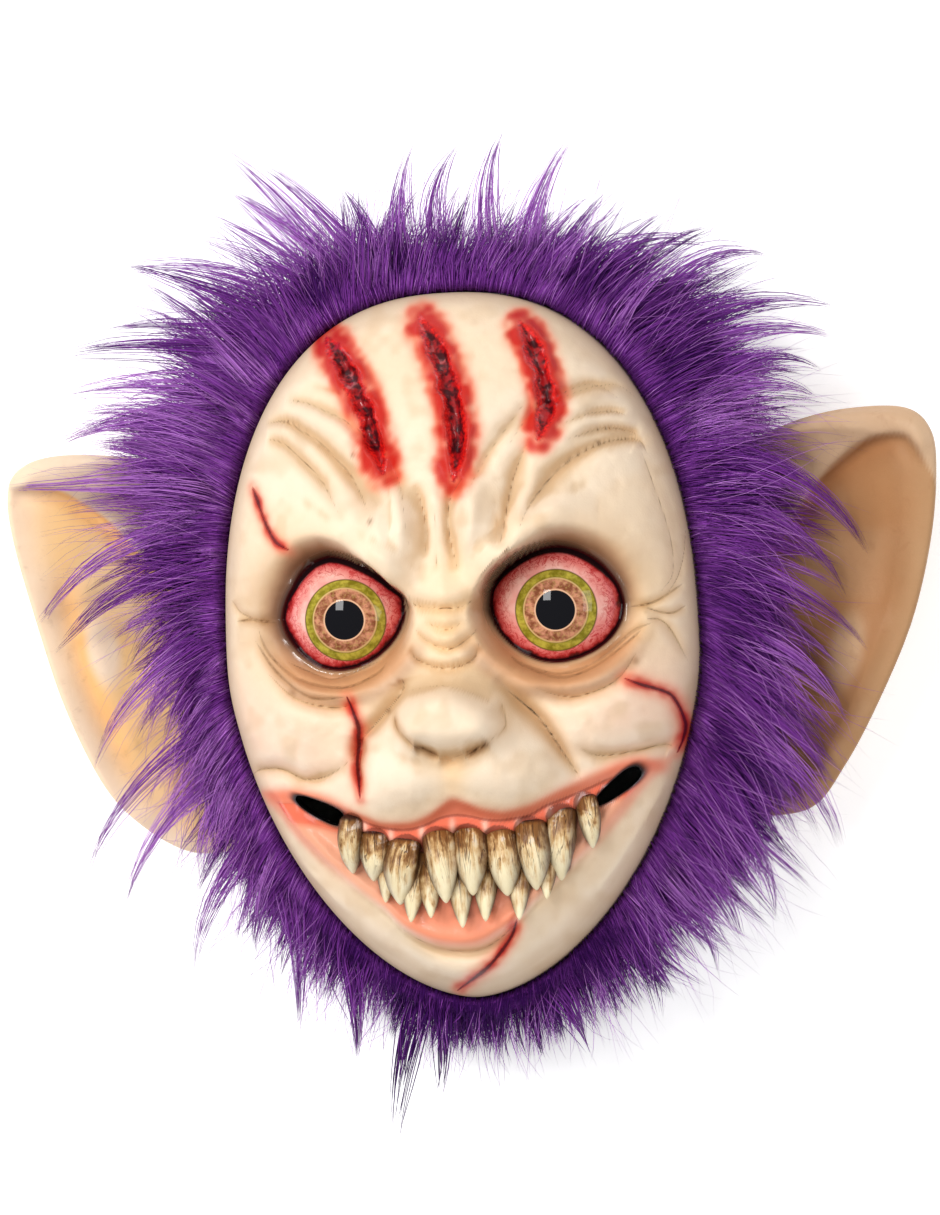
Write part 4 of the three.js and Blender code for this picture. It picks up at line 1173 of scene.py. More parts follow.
def eyeFinish(name, side):
    # Painted rings round the pupil under a clear coat, and a bloodshot white with painted shadow under the
    # upper lid
    iris = {"centre": (0.4, -1.6), "pupil": 7.4, "inner": 12.0, "outer": 15.3}
    fixed = {"Roughness": 0.3, "Specular IOR Level": 0.0}
    coat = {"Coat Weight": 0.8, "Coat Roughness": 0.02, "Coat IOR": 1.4}
    paint = Finish(name, {**fixed, **coat})
    x, y = paint.parts(paint.place())
    x = x * 1000 - (side * eye["spread"] + iris["centre"][0])
    y = y * 1000 - (eye["height"] + iris["centre"][1])
    r = (x * x + y * y) ** 0.5
    wobble, fine, broad = paint.noise(3.0, 3), paint.noise(1.1, 4), paint.noise(9, 2)
    veins = paint.noise(4.0, 5, 0.62, bend=1.2)
    shaded = y.ramp(6, 18) * 1.5
    rays = paint.noise(1000, 4, 0.6, source=paint.joined(x / r * 8, y / r * 8, r * 0.45))
    lid = paint.attribute("lidGap")
    rim = lid + (wobble - 0.5) * 2.2 + (broad - 0.5) * 4 - (rays - 0.5) * 3
    white = paint.blend(broad.ramp(0.35, 0.65), linear(244, 194, 180), linear(232, 150, 140))
    vein = (1 - ((veins - 0.5) * (veins - 0.5) * 700).ramp(0.1, 1.2)) * (1 - rim.ramp(4, 9))
    tone = paint.blend(1 - rim.ramp(2.2, 8.0), white, linear(224, 108, 104))
    tone = paint.blend(vein * 0.75, tone, linear(186, 30, 36))
    tone = paint.blend(1 - rim.ramp(0.8, 4.0), tone, linear(170, 20, 28))
    tone = paint.blend(1 - rim.ramp(0.2, 2.0), tone, linear(66, 4, 10))
    # Painted shadow under the upper lid, reaching further down the eye at the top
    tone = paint.blend(1 - (lid - shaded).ramp(0.3, 1.4), tone, linear(26, 8, 12))
    gold = paint.blend(wobble.ramp(0.3, 0.7), linear(122, 112, 22), linear(186, 170, 64))
    gold = paint.blend(rays.ramp(0.5, 0.68) * 0.35, gold, linear(128, 92, 24))
    goldMiddle = 13.85
    edge = (r - goldMiddle) * (r - goldMiddle)
    edge = edge.ramp(0.8, 2.6) * (1 - r.ramp(iris["outer"] - 0.1, iris["outer"] + 0.3))
    tone = paint.blend(1 - r.ramp(iris["outer"] - 0.1, iris["outer"] + 0.5), tone, linear(96, 78, 34))
    tone = paint.blend(1 - r.ramp(iris["outer"] - 0.45, iris["outer"]), tone, gold)
    tone = paint.blend(edge * 0.55, tone, linear(104, 92, 24))
    pale = linear(206, 170, 112)
    tone = paint.blend(1 - r.ramp(iris["inner"] + 0.1, iris["inner"] + 0.5), tone, pale)
    flesh = paint.blend(wobble.ramp(0.36, 0.64), linear(128, 72, 46), linear(204, 140, 108))
    flesh = paint.blend(rays.ramp(0.5, 0.66) * 0.5, flesh, linear(118, 66, 40))
    flesh = paint.blend(fine.ramp(0.5, 0.64) * 0.4, flesh, linear(188, 158, 92))
    tone = paint.blend(1 - r.ramp(iris["inner"] - 0.5, iris["inner"]), tone, flesh)
    tone = paint.blend(1 - r.ramp(iris["pupil"] + 0.3, iris["pupil"] + 0.8), tone, linear(226, 178, 142))
    tone = paint.blend(1 - r.ramp(iris["pupil"] - 0.1, iris["pupil"] + 0.15), tone, (0.004, 0.004, 0.006))
    step = r.ramp(iris["pupil"] - 0.3, iris["pupil"] + 0.5) - r.ramp(iris["inner"], iris["inner"] + 0.5)
    step = step + r.ramp(iris["outer"] - 0.4, iris["outer"] + 0.3)
    return paint.finish(Base_Color=tone, Normal=paint.relief(step + fine * 0.2, 0.25, 0.5))


makeEye("leftEyeDome", "left_eye", 1)
makeEye("rightEyeDome", "right_eye", -1)
print("the eyes are made")

fangShape = {
    "rings": 34,
    "sides": 28,
    # Share of the way from root to tip, and half the width there in widths at the gum
    "profile": [[0, 0.2], [0.02, 0.38], [0.06, 0.47], [0.12, 0.51], [0.25, 0.53], [0.42, 0.53],
                [0.58, 0.48], [0.73, 0.39], [0.85, 0.27], [0.93, 0.16], [0.98, 0.08], [1, 0.03]],
    # Depth over width, height of root and tip over the gum and lip, how far the root sinks in, forward bow
    "front": {"depth": 0.78, "rootLift": 2.5, "tipLift": 7, "sink": 3, "bow": 1.8},
    "back": {"depth": 0.6, "rootLift": 0, "tipLift": 3.5, "sink": 1.5, "bow": 0.6},
    "clearOfLip": 1.6,
}


def fangAxis(root, tip, form):
    # From root to tip, with the tip lifted until the axis clears the lip all the way down
    start = np.array([*root, fangLevels(root) + form["rootLift"]])
    end = np.array([*tip, fangLevels(tip) + form["tipLift"]])
    share = np.linspace(0.4, 1, 7)
    under = skinHeight(mix(start[0], end[0], share), mix(start[1], end[1], share)) + fangShape["clearOfLip"]
    end[2] += max(0, np.max((under - mix(start[2], end[2], share)) / share))
    return start, end


def makeFang(name, node, fang, rank, seed):
    # A profile carried from root to tip: flattened ovals, bowed forward, with shallow grooves down them
    root, tip, width, bend = fang
    form, rings, sides = fangShape[rank], fangShape["rings"], fangShape["sides"]
    start, end = fangAxis(root, tip, form)
    run = end - start
    side = np.cross([0, 0, 1], run)
    side /= np.linalg.norm(side)
    front = np.cross(run / np.linalg.norm(run), side)
    profile = softCurve(fangShape["profile"], 8)
    share = np.linspace(0, 1, rings) ** 1.15
    half = np.interp(share, profile[:, 0], profile[:, 1])[:, None] * width
    turn = np.linspace(0, 2 * math.pi, sides, endpoint=False)[None, :]
    t = share[:, None]
    groove = 1 + 0.05 * np.cos(5 * turn + seed) * np.sin(math.pi * np.clip(t * 1.1, 0, 1))
    groove = groove + 0.03 * np.cos(9 * turn + 2 * seed) * np.sin(math.pi * t)
    dent = 1 + 0.045 * grain(turn * 3 + seed * 7, t * 9 + seed, 1.3, 31)
    wide = half * np.cos(turn) * groove * dent + bend * np.sin(math.pi * t) * 0.9
    deep = half * form["depth"] * np.sin(turn) * groove * dent + form["bow"] * np.sin(math.pi * t)
    points = start + t[..., None] * run + wide[..., None] * side + deep[..., None] * front
    points[..., 2] -= form["sink"] * (1 - t) ** 4
    start[2] -= form["sink"]
    points = np.vstack([points.reshape(-1, 3), start[None], end[None]])
    k = np.arange(sides)
    nxt = (k + 1) % sides
    last = (rings - 1) * sides
    faces = [
        gridFaces(rings, sides, wrapColumns=True),
        np.column_stack([np.full(sides, rings * sides), nxt, k]),
        np.column_stack([np.full(sides, rings * sides + 1), last + k, last + nxt]),
    ]
    sideways, grown = np.tile(np.cos(turn[0]), rings), np.repeat(half[:, 0], sides)
    values = {
        "along": np.append(np.repeat(share, sides), [0, 1]),
        "flank": np.append(np.abs(sideways), [0, 0]),
        "across": np.append(sideways * grown, [0, 0]) + seed * 13.7,
        "backRank": np.full(len(points), float(rank == "back")),
    }
    piece = makePiece(name, points, faces, [node], values)
    piece.data.materials.append(fangResin)


def fangLevels(spot):
    # Height of the smooth gum and lip under a fang, without the fine forms
    x, y = np.array([float(spot[0])]), np.array([float(spot[1])])
    share = np.minimum(np.hypot(x, y) / outlineRadius(np.arctan2(y, x)), 1)
    base = face["edgeHeight"] + face["rise"] * np.maximum(1 - share**2.4, 0) ** 0.62
    height = base + mounds(masses, x, y) + mounds(pairedMasses, x, y, True)
    low = smooth(lineY(lipTop, x) - 4 - y, -3, 4)
    return float((height - 5 * low)[0])


def fangFinish():
    # Ivory resin with a brown wash at the gum and on the flanks, painted shade at the flanks' edges, and dark
    # cracks that run down from the root
    resin = Finish("stainedResin", {"Specular IOR Level": 0.5, "Coat Roughness": 0.15})
    along, flank = resin.attribute("along"), resin.attribute("flank")
    across, rank = resin.attribute("across"), resin.attribute("backRank")
    streak = resin.noise(1000, 4, 0.6, source=resin.joined(across * 0.45, along * 2.6, rank), bend=0.6)
    patch = resin.noise(1000, 3, 0.6, source=resin.joined(across * 0.22, along * 4.5, rank + 3))
    hair = resin.noise(1000, 2, 0.5, source=resin.joined(across * 0.5, along * 1.0, rank + 7), bend=0.8)
    ivory = resin.blend(patch, linear(254, 244, 214), linear(230, 208, 156))
    reach = along + (streak - 0.5) * 1.5 + (patch - 0.5) * 0.9 - flank * 0.12 - rank * 0.16
    tone = resin.blend((1 - reach.ramp(0.2, 0.75)) * 0.8, ivory, linear(196, 146, 76))
    tone = resin.blend((1 - reach.ramp(0.02, 0.4)) * 0.9, tone, linear(116, 68, 22))
    chalk = patch.ramp(0.55, 0.66) * (1 - along.ramp(0.2, 0.4))
    tone = resin.blend(chalk * 0.6, tone, linear(222, 212, 204))
    crack = (1 - ((hair - 0.5) * (hair - 0.5) * 2500).ramp(0.1, 0.9)) * (1 - along.ramp(0.35, 0.9))
    tone = resin.blend(crack * 0.8, tone, linear(70, 38, 16))
    # Painted shade on the flanks, where each fang turns away and meets its neighbours
    tone = resin.blend((flank ** 3) * (1 - along.ramp(0.85, 1)) * 0.9, tone, linear(72, 40, 16))
    tone = resin.blend(1 - along.ramp(0.01, 0.07), tone, linear(40, 20, 14))
    rough = 0.34 + (streak - 0.5) * 0.3
    normal = resin.relief(streak - crack * 0.8, 0.35, 0.6)
    return resin.finish(Base_Color=tone, Roughness=rough, Normal=normal)


fangResin = fangFinish()
for rank, fangs, seed in (("front", frontFangs, 0), ("back", backFangs, 20)):
    for number, fang in enumerate(fangs, 1):
        makeFang(f"{rank}Fang{number}", f"{rank}_fang_{number}", fang, rank, seed + number)
print("the fangs are made")

# Ears: places are given for the ear at +X. The other one is mirrored, with its own outline and forms, and the
# same latex in brighter, more orange colours, painted light, where the ear at +X has darker ones, painted
# shade.
ears = {"rootHeight": 34.0, "thickness": 3.4, "rimRound": 1.1, "rootGap": 0.4, "along": 130, "across": 73}
leftEar = {
    "outline": [[97, 71], [112, 74.5], [134, 81.8], [154, 84.7], [175, 83.2], [184.2, 74],
                [185.6, 58], [182.4, 32], [174, 1.4], [160, -29], [145.5, -54], [131, -70.5],
                [106, -73], [92, -71]],
    "band": [[183, 58], [177.1, 68.7], [172.6, 72.4], [162.1, 72.3], [153, 67.7], [143.7, 60.3],
             [136.7, 52.9], [130.5, 44.6], [122, 34], [112, 24]],
    "groove": [[173.4, 48.3], [170.4, 26.2], [166.8, 6.8], [163.8, -7.1], [155.2, -25],
               [148.3, -32.5], [138, -50]],
    "bump": (148, -9, 9, 20, 4.2, -14, 1.0),
    # This ear's colours are darker copies of the other's: painted shade
    "cup": (186, 136, 92),
    # Painted shade below the band's lip
    "cupShade": (166, 110, 68),
    "rim": (206, 174, 142),
    "border": (184, 144, 104),
    # Painted highlight on the swelling, also a random lighter cloud
    "pale": (206, 170, 134),
    # Painted shade in the groove
    "glow": (166, 112, 68),
    "rough": 0.9,
    "roll": 0.6,
    "hollow": 8,
    "knuckle": 5,
}
rightEar = {
    "outline": [[97, 73.8], [108.5, 77.6], [135, 81.3], [157, 82.6], [171.5, 79.4], [179, 70],
                [178.7, 50], [172.5, 18], [163, -18.3], [150, -49], [136, -66], [118, -77.4],
                [101.5, -78], [93.5, -73.5]],
    "band": [[184, 70], [178.3, 69.5], [161.2, 68.6], [151.3, 62.9], [142.3, 55.6], [135, 46.9],
             [126.2, 35.7], [116, 24], [108, 14]],
    "groove": [[161.7, 41.4], [160.9, 25.4], [158.4, 9.2], [153.6, -11], [146.5, -31.3],
               [138.5, -51.6]],
    "bump": (147, 4, 8.5, 19, 1.2, -8, 1.0),
    # This ear's colours are brighter, more orange copies of the other's: painted light
    "cup": (255, 212, 150),
    # Painted shade below the band's lip
    "cupShade": (255, 200, 124),
    "rim": (240, 218, 190),
    "border": (252, 228, 200),
    # Painted highlight on the swelling, also a random lighter cloud
    "pale": (250, 230, 206),
    # Painted shade in the groove
    "glow": (255, 190, 110),
    "rough": 0.3,
    "roll": 0.0,
    "hollow": 2.0,
    "knuckle": 1.5,
}


def earBase(ear, edge, s, v):
    # A straight line from root to edge, hollowed to a cup, lifted by the square of the reach and rolled up at
    # its end. s runs from the root's top to its bottom, and v from the root outwards.
    angle = np.radians(mix(37, -36, s))
    root = wallRadius(angle, ears["rootHeight"]) + ears["rootGap"]
    x = mix(root * np.cos(angle), edge[0], v)
    y = mix(root * np.sin(angle), edge[1], v)
    reach = np.hypot(edge[0] - root * np.cos(angle), edge[1] - root * np.sin(angle))
    full = smooth(reach, 8, 70)
    cup = -ear["hollow"] * full * np.sin(math.pi * np.clip(v * 1.15, 0, 1))
    rise = 25 * ((v * reach) / 100) ** 2 * smooth(1 - s, 0, 0.45)
    rollWidth = mix(0.2, 0.1, smooth(s, 0.2, 0.6))
    roll = 7 * full * bell(v - 0.93, rollWidth) * mix(1, ear["roll"], smooth(s, 0.12, 0.4))
    knuckle = ear["knuckle"] * bell((x - 152) / 14, 1) * bell((y + 2) / 20, 1)
    return x, y, ears["rootHeight"] + cup + rise + roll + knuckle


def earForms(ear, x, y):
    # The band rolled over along the top with its crisp lip, the groove by the outer edge and the swelling
    gap, along, side = nearLine(softCurve(ear["band"], 5), x, y, 60)
    signed = np.where(gap == farOff, -60, -side * gap)
    ends = smooth(along, 0, 0.12)
    lip = 4.6 * smooth(signed, -0.9, 1.4) - 1.2 * smooth(signed, 2, 16) - 1.8 * bell(signed + 2.5, 3)
    gap, along, _ = nearLine(softCurve(ear["groove"], 5), x, y, 20)
    fade = window(along, 0, 0.3, 0.8, 1)
    wrinkle = ear["rough"] * 0.5 * grain(x, y, 4.5, 41) * window(signed, 0, 4, 10, 18)
    height = lip * ends - 2.6 * bell(gap, 5.5) * fade + mound(ear["bump"], x, y) + wrinkle
    return height, signed, gap, fade


def paintEar(ear, x, y, v, under):
    # An orange hollow with painted shade below the lip and in the groove, a pale border, and a painted
    # highlight on the swelling
    tones = {key: linear(*ear[key]) for key in ("cup", "cupShade", "rim", "border", "pale", "glow")}
    _, signed, grooveGap, fade = earForms(ear, x, y)
    colour = np.tile(tones["cup"], (len(x), 1))
    cloud = 0.5 + 0.5 * grain(x, y, 16, 43)
    bump = mound(ear["bump"], x, y) / ear["bump"][4]
    layers = [
        ("pale", 0.3 * smooth(cloud, 0.45, 0.9)),
        # Painted shade below the band's lip and in the groove
        ("cupShade", 0.85 * bell(np.minimum(signed, 0), 9) * (0.6 + 0.4 * cloud)),
        ("glow", 0.8 * bell(grooveGap, 7) * fade),
        # Painted highlight on the swelling
        ("pale", 0.85 * smooth(bump, 0.35, 0.85) * (signed < 0)),
        ("border", 0.9 * smooth(v, 0.78, 1.0)),
        ("rim", 0.95 * smooth(signed, -0.5, 1.2)),
        ("rim", under),
    ]
    for tone, mask in layers:
        colour = mix(colour, tones[tone], np.clip(mask, 0, 1)[:, None])
    return colour


def makeEar(name, node, mirror, ear):
    # Rows from the root's top to its bottom, each running out over the top, round the rim and back below.
    # The result holds the places and heights of the two surfaces, for the fur to lie on.
    rows, half = ears["along"], ears["thickness"] / 2
    s = np.linspace(0, 1, rows)[:, None]
    outline = softCurve(ear["outline"], 10)
    at = s[:, 0] * (len(outline) - 1)
    edge = np.stack([np.interp(at, np.arange(len(outline)), outline[:, i]) for i in (0, 1)])[..., None]
    rootX, rootY, _ = earBase(ear, edge, s, 0.0)
    out = edge - np.stack([rootX, rootY])
    out /= np.hypot(out[0], out[1])
    rim = ears["rimRound"] * half
    edge = edge - rim * out
    v = (np.linspace(0, 1, ears["across"]) ** 0.8)[None, :]
    x, y, z = earBase(ear, edge, s, v)
    forms, _, _, _ = earForms(ear, x, y)
    topZ = z + half + forms * (1 - 0.7 * np.clip((v - 0.94) / 0.06, 0, 1) ** 2)
    lowV = v[:, ::-3]
    lowX, lowY, lowZ = earBase(ear, edge, s, lowV)
    lowForms, _, _, _ = earForms(ear, lowX, lowY)
    turns = np.linspace(math.pi / 2, -math.pi / 2, 9)[None, 1:-1]
    high, low = topZ[:, -1:], lowZ[:, :1] - half
    rimX = x[:, -1:] + out[0] * rim * np.cos(turns)
    rimY = y[:, -1:] + out[1] * rim * np.cos(turns)
    rimZ = (high + low) / 2 + (high - low) / 2 * np.sin(turns)
    gridX, gridY = np.hstack([x, rimX, lowX]), np.hstack([y, rimY, lowY])
    gridZ = np.hstack([topZ, rimZ, lowZ - half + lowForms * (1 - lowV**3) * 0.6])
    columns = gridX.shape[1]
    full = np.ones((rows, 1))
    vAll = np.hstack([full * v, 0 * rimX + 1, full * lowV])
    under = np.hstack([0 * x, 0 * rimX, 0 * lowX + 1])
    colour = paintEar(ear, gridX.ravel(), gridY.ravel(), vAll.ravel(), under.ravel())
    points = np.stack([gridX * mirror, gridY, gridZ], -1).reshape(-1, 3)
    faces = [
        gridFaces(rows, columns, wrapColumns=True)[:, ::-1],
        np.arange(columns)[None],
        ((rows - 1) * columns + np.arange(columns))[None, ::-1],
    ]
    if mirror < 0:
        faces = [f[:, ::-1] for f in faces]
    piece = makePiece(name, points, faces, [node], None, {"paint": colour})
    piece.data.materials.append(earLatex)
    return np.column_stack([x.ravel() * mirror, y.ravel(), topZ.ravel(), (z - half).ravel()])


def earFinish():
    # Airbrushed latex with a soft skin, pale pores and a few dark specks
    skin = Finish("earLatex", {"Specular IOR Level": 0.35})
    mottle, pores = skin.noise(18, 4), skin.noise(0.8, 2)
    stain = skin.noise(7, 5, 0.65, bend=0.5)
    paint = skin.attribute("paint", "Color")
    tone = skin.blend((mottle - 0.5) * 0.5 + 0.14, paint, (0.8, 0.56, 0.36), "MULTIPLY")
    tone = skin.blend(stain.ramp(0.56, 0.72) * 0.15, tone, linear(150, 98, 62))
    rough = 0.5 + (mottle - 0.5) * 0.2
    normal = skin.relief(pores * 0.25 + stain * 0.8, 0.5, 0.6)
    return skin.finish(Base_Color=tone, Roughness=rough, Normal=normal)


earLatex = earFinish()
earTops = [
    makeEar("leftEarShell", "left_ear", 1, leftEar),
    makeEar("rightEarShell", "right_ear", -1, rightEar),
]
print("the ears are made")

# Faux fur. Tables run round the face every 15 degrees from +X: the direction of the pile at its root and at
# its tip, and how far the dense part reaches beyond the edge of the face.
fur = {
    "rootHeading": [-14, -2, 10, 32, 50, 62, 80, 100, 125, 140, 155, 176,
                    200, 216, 224, 230, 236, 246, 264, 285, 300, 314, 322, 332],
    "tipHeading": [-66, -54, -30, -5, 10, 45, 60, 85, 150, 185, 192, 208,
                   242, 250, 252, 254, 258, 264, 268, 290, 303, 304, 298, 294],
    "denseReach": [38, 36, 38, 46, 46, 32, 24, 32, 42, 50, 50, 32,
                   28, 30, 30, 26, 20, 12, 8, 15, 28, 38, 44, 43],
    "pileLocks": 620,
    "pileStrands": 13400,
    "edgeStrands": 4600,
    "wispLocks": 255,
    "wispStrands": 24,
    "lockStrands": 34,
    "flyaways": 1200,
    "sideStrands": 3000,
    "thickness": 0.44,
    "fineThickness": 0.22,
    "deep": (66, 20, 96),
    "middle": (142, 68, 170),
    "light": (208, 142, 228),
    "tip": (112, 76, 138),
}


def heading(table, angle):
    # Directions may pass through 0: they are read as unit vectors round the circle
    turns = np.radians(np.asarray(table, float))
    return np.arctan2(around(np.sin(turns), angle), around(np.cos(turns), angle))


def turned(first, second, share):
    # The direction that share of the way from first to second, going the short way round
    return first + np.angle(np.exp(1j * (second - first))) * share


def headings(angle):
    return heading(fur["rootHeading"], angle), heading(fur["tipHeading"], angle)


def furRoot(angle, out, height):
    # A place that far out from the side wall, at that height
    radius = wallRadius(angle, np.minimum(height, face["edgeHeight"])) + out
    return np.stack([radius * np.cos(angle), radius * np.sin(angle), height], -1)


def grownPath(root, headRoot, headTip, riseRoot, riseTip, length, steps):
    # Walks from the root in equal steps, turning evenly from the first direction to the last
    t = (np.arange(steps) + 0.5) / steps
    turn = np.angle(np.exp(1j * (headTip - headRoot)))
    direction = headRoot[:, None] + turn[:, None] * t
    rise = mix(riseRoot[:, None], riseTip[:, None], t**0.7)
    step = (length / steps)[:, None]
    move = np.stack([np.cos(rise) * np.cos(direction), np.cos(rise) * np.sin(direction), np.sin(rise)], -1)
    path = np.concatenate([np.zeros((len(root), 1, 3)), np.cumsum(move * step[..., None], 1)], 1)
    return root[:, None] + path


def onPath(paths, which, t):
    # Points at share t along the path of each strand's lock
    steps = paths.shape[1] - 1
    place = np.clip(t, 0, 1) * steps
    low = np.minimum(np.floor(place).astype(int), steps - 1)
    share = (place - low)[..., None]
    return paths[which[:, None], low] * (1 - share) + paths[which[:, None], low + 1] * share


# The ears' heights are kept over squares of this size, out to these distances from the middle
levelGrid = {"reachX": 220, "reachY": 120, "square": 2}


def gridPlace(x, y):
    # Row and column of the square that a point lies in
    square = levelGrid["square"]
    return ((x + levelGrid["reachX"]) / square).astype(int), ((y + levelGrid["reachY"]) / square).astype(int)


def earLevels():
    # Highest and lowest ear surface over each square and its neighbours, or -1 and 999 away from the ears
    shape = [2 * levelGrid[reach] // levelGrid["square"] for reach in ("reachX", "reachY")]
    top, under = np.full(shape, -1.0), np.full(shape, 999.0)
    for rows in earTops:
        i, j = gridPlace(rows[:, 0], rows[:, 1])
        for di in (-1, 0, 1):
            for dj in (-1, 0, 1):
                np.maximum.at(top, (i + di, j + dj), rows[:, 2])
                np.minimum.at(under, (i + di, j + dj), rows[:, 3])
    return top, under


earTop, earUnder = earLevels()


def clearOfEars(points, above, gap):
    # Strands over an ear are lifted onto it, and those that start below it are kept under it
    i, j = gridPlace(points[..., 0], points[..., 1])
    i, j = np.clip(i, 0, earTop.shape[0] - 1), np.clip(j, 0, earTop.shape[1] - 1)
    z = points[..., 2]
    points[..., 2] = np.where(above, np.maximum(z, earTop[i, j] + gap), np.minimum(z, earUnder[i, j] - gap))
    return points


def strandMesh(name, paths, width, shade):
    # Three-sided prisms along the paths, tapering to a point, closed at the root
    count, rings = paths.shape[0], paths.shape[1] - 1
    slope = np.gradient(paths, axis=1)
    slope /= np.maximum(np.linalg.norm(slope, axis=2), 1e-6)[..., None]
    side = np.cross(slope, [0.03, 0.02, 1.0])
    side /= np.maximum(np.linalg.norm(side, axis=2), 1e-6)[..., None]
    up = np.cross(side, slope)
    t = np.arange(rings) / rings
    radius = (width[:, None] / 2) * ((1 - 0.72 * t**1.6) * np.where(t > 0, 1, 0.4))[None, :]
    turn = np.radians([90, 210, 330])
    ring = radius[..., None, None] * (
        np.cos(turn)[:, None] * side[:, :rings, None] + np.sin(turn)[:, None] * up[:, :rings, None]
    )
    body = paths[:, :rings, None] + ring
    each = rings * 3 + 1
    points = np.concatenate([body.reshape(count, -1, 3), paths[:, -1:]], 1).reshape(-1, 3)
    points[:, 2] = np.maximum(points[:, 2], 0.3)
    k = np.arange(3)
    n = (k + 1) % 3
    r = np.arange(rings - 1)[:, None] * 3
    quads = np.stack([r + k, r + 3 + k, r + 3 + n, r + n], -1).reshape(-1, 4)
    tips = np.column_stack([(rings - 1) * 3 + n, (rings - 1) * 3 + k, np.full(3, rings * 3)])
    base = (np.arange(count) * each)[:, None, None]
    faces = [
        (base + quads[None]).reshape(-1, 4),
        (base + np.vstack([tips, [[0, 1, 2]]])[None]).reshape(-1, 3),
    ]
    along = np.concatenate([np.repeat(t, 3), [1.0]])
    uv = np.column_stack([np.repeat(shade, each), np.tile(along, count)])
    piece = makePiece(name, points, faces, ["fur_ruff"], maps={"OFBake": uv})
    piece.data.materials.append(fauxFur)
    return piece


def furFinish():
    # Each strand is coloured by its own shade value, which holds painted light and shade along with the
    # pile's own variation; darker at the root, as painted shade deep in the pile, and greyer at the very tip
    pile = Finish("violetPile", {"Roughness": 0.55, "Specular IOR Level": 0.06})
    spot = pile.node("ShaderNodeUVMap", {"uv_map": "OFBake"})
    shade, along = pile.parts(spot)
    deep, middle, light, tip = (linear(*fur[key]) for key in ("deep", "middle", "light", "tip"))
    tone = pile.blend(shade.ramp(0.0, 0.55), deep, middle)
    tone = pile.blend(shade.ramp(0.55, 1.0), tone, light)
    # Painted shade towards the root, deep in the pile
    tone = pile.blend((1 - along.ramp(0.0, 0.4)) * 0.6, tone, deep)
    tone = pile.blend(along.ramp(0.7, 1.0) * 0.5, tone, tip)
    return pile.finish(Base_Color=tone)


def undercoatFinish():
    # Dark matt violet, painted shade of a dense pile's depths, mottled like its roots
    coat = Finish("shadedUndercoat", {"Roughness": 0.9, "Specular IOR Level": 0.0})
    hair = coat.noise(1.2, 4, 0.7)
    wide = coat.noise(14, 3)
    tone = coat.blend(hair.ramp(0.35, 0.65), linear(60, 20, 80), linear(112, 50, 138))
    tone = coat.blend(wide.ramp(0.4, 0.6) * 0.4, tone, linear(70, 26, 92))
    return coat.finish(Base_Color=tone, Normal=coat.relief(hair, 1.0, 1.0))


fauxFur = furFinish()
undercoat = {
    "steps": 360,
    "reachShare": 0.56,
    "reachMore": 5,
    # Share of the reach outwards, and height: over the top to the outer edge, then back underneath
    "section": [[0, 68], [0.06, 72], [0.25, 72], [0.5, 66], [0.78, 54], [1, 38], [0.86, 20], [0.6, 5],
                [0.3, 1.2]],
    "topPoints": 6,
    # Distance from the side wall and height of the two points against it
    "wallLow": (0.3, 1.2),
    "wallHigh": (0.6, 66.0),
}


def coatHeight(out, reach):
    # Height of the undercoat's top at a distance out
    section = np.array(undercoat["section"])[:undercoat["topPoints"]]
    return np.interp(np.clip(out / np.maximum(reach, 1), 0, 1), section[:, 0], section[:, 1])


def makeUndercoat():
    # A closed ring whose section reaches out along the pile's direction, with a ragged edge
    angle = np.linspace(0, 2 * math.pi, undercoat["steps"], endpoint=False)
    section = softCurve(undercoat["section"], 3)
    ragged = 1 + 0.10 * np.sin(angle * 61) + 0.08 * np.sin(angle * 97 + 1) + 0.06 * np.sin(angle * 23)
    reach = around(fur["denseReach"], angle) * undercoat["reachShare"] * ragged + undercoat["reachMore"]
    lean = turned(heading(fur["rootHeading"], angle), angle, 0.35)
    root = furRoot(angle, 1.2, np.full(len(angle), face["edgeHeight"]))[:, None]
    share = section[:, 0][None, :]
    way = np.stack([np.cos(lean), np.sin(lean), 0 * lean], -1)[:, None]
    points = root + way * (share * reach[:, None])[..., None]
    points[..., 2] = section[:, 1]
    wall = [
        furRoot(angle, out, np.full(len(angle), height))[:, None]
        for out, height in (undercoat["wallLow"], undercoat["wallHigh"])
    ]
    points = np.concatenate([points, *wall], 1)
    faces = [gridFaces(points.shape[0], points.shape[1], wrapRows=True, wrapColumns=True)]
    piece = makePiece("furUndercoat", points.reshape(-1, 3), faces, ["fur_ruff"])
    piece.data.materials.append(undercoatFinish())


def lit(x, y):
    # The pile is brighter to the left of the picture and deep in shadow under the chin
    return 0.14 * smooth(-x, 50, 130) - 0.46 * smooth(-y - 0.35 * np.abs(x), 50, 130)


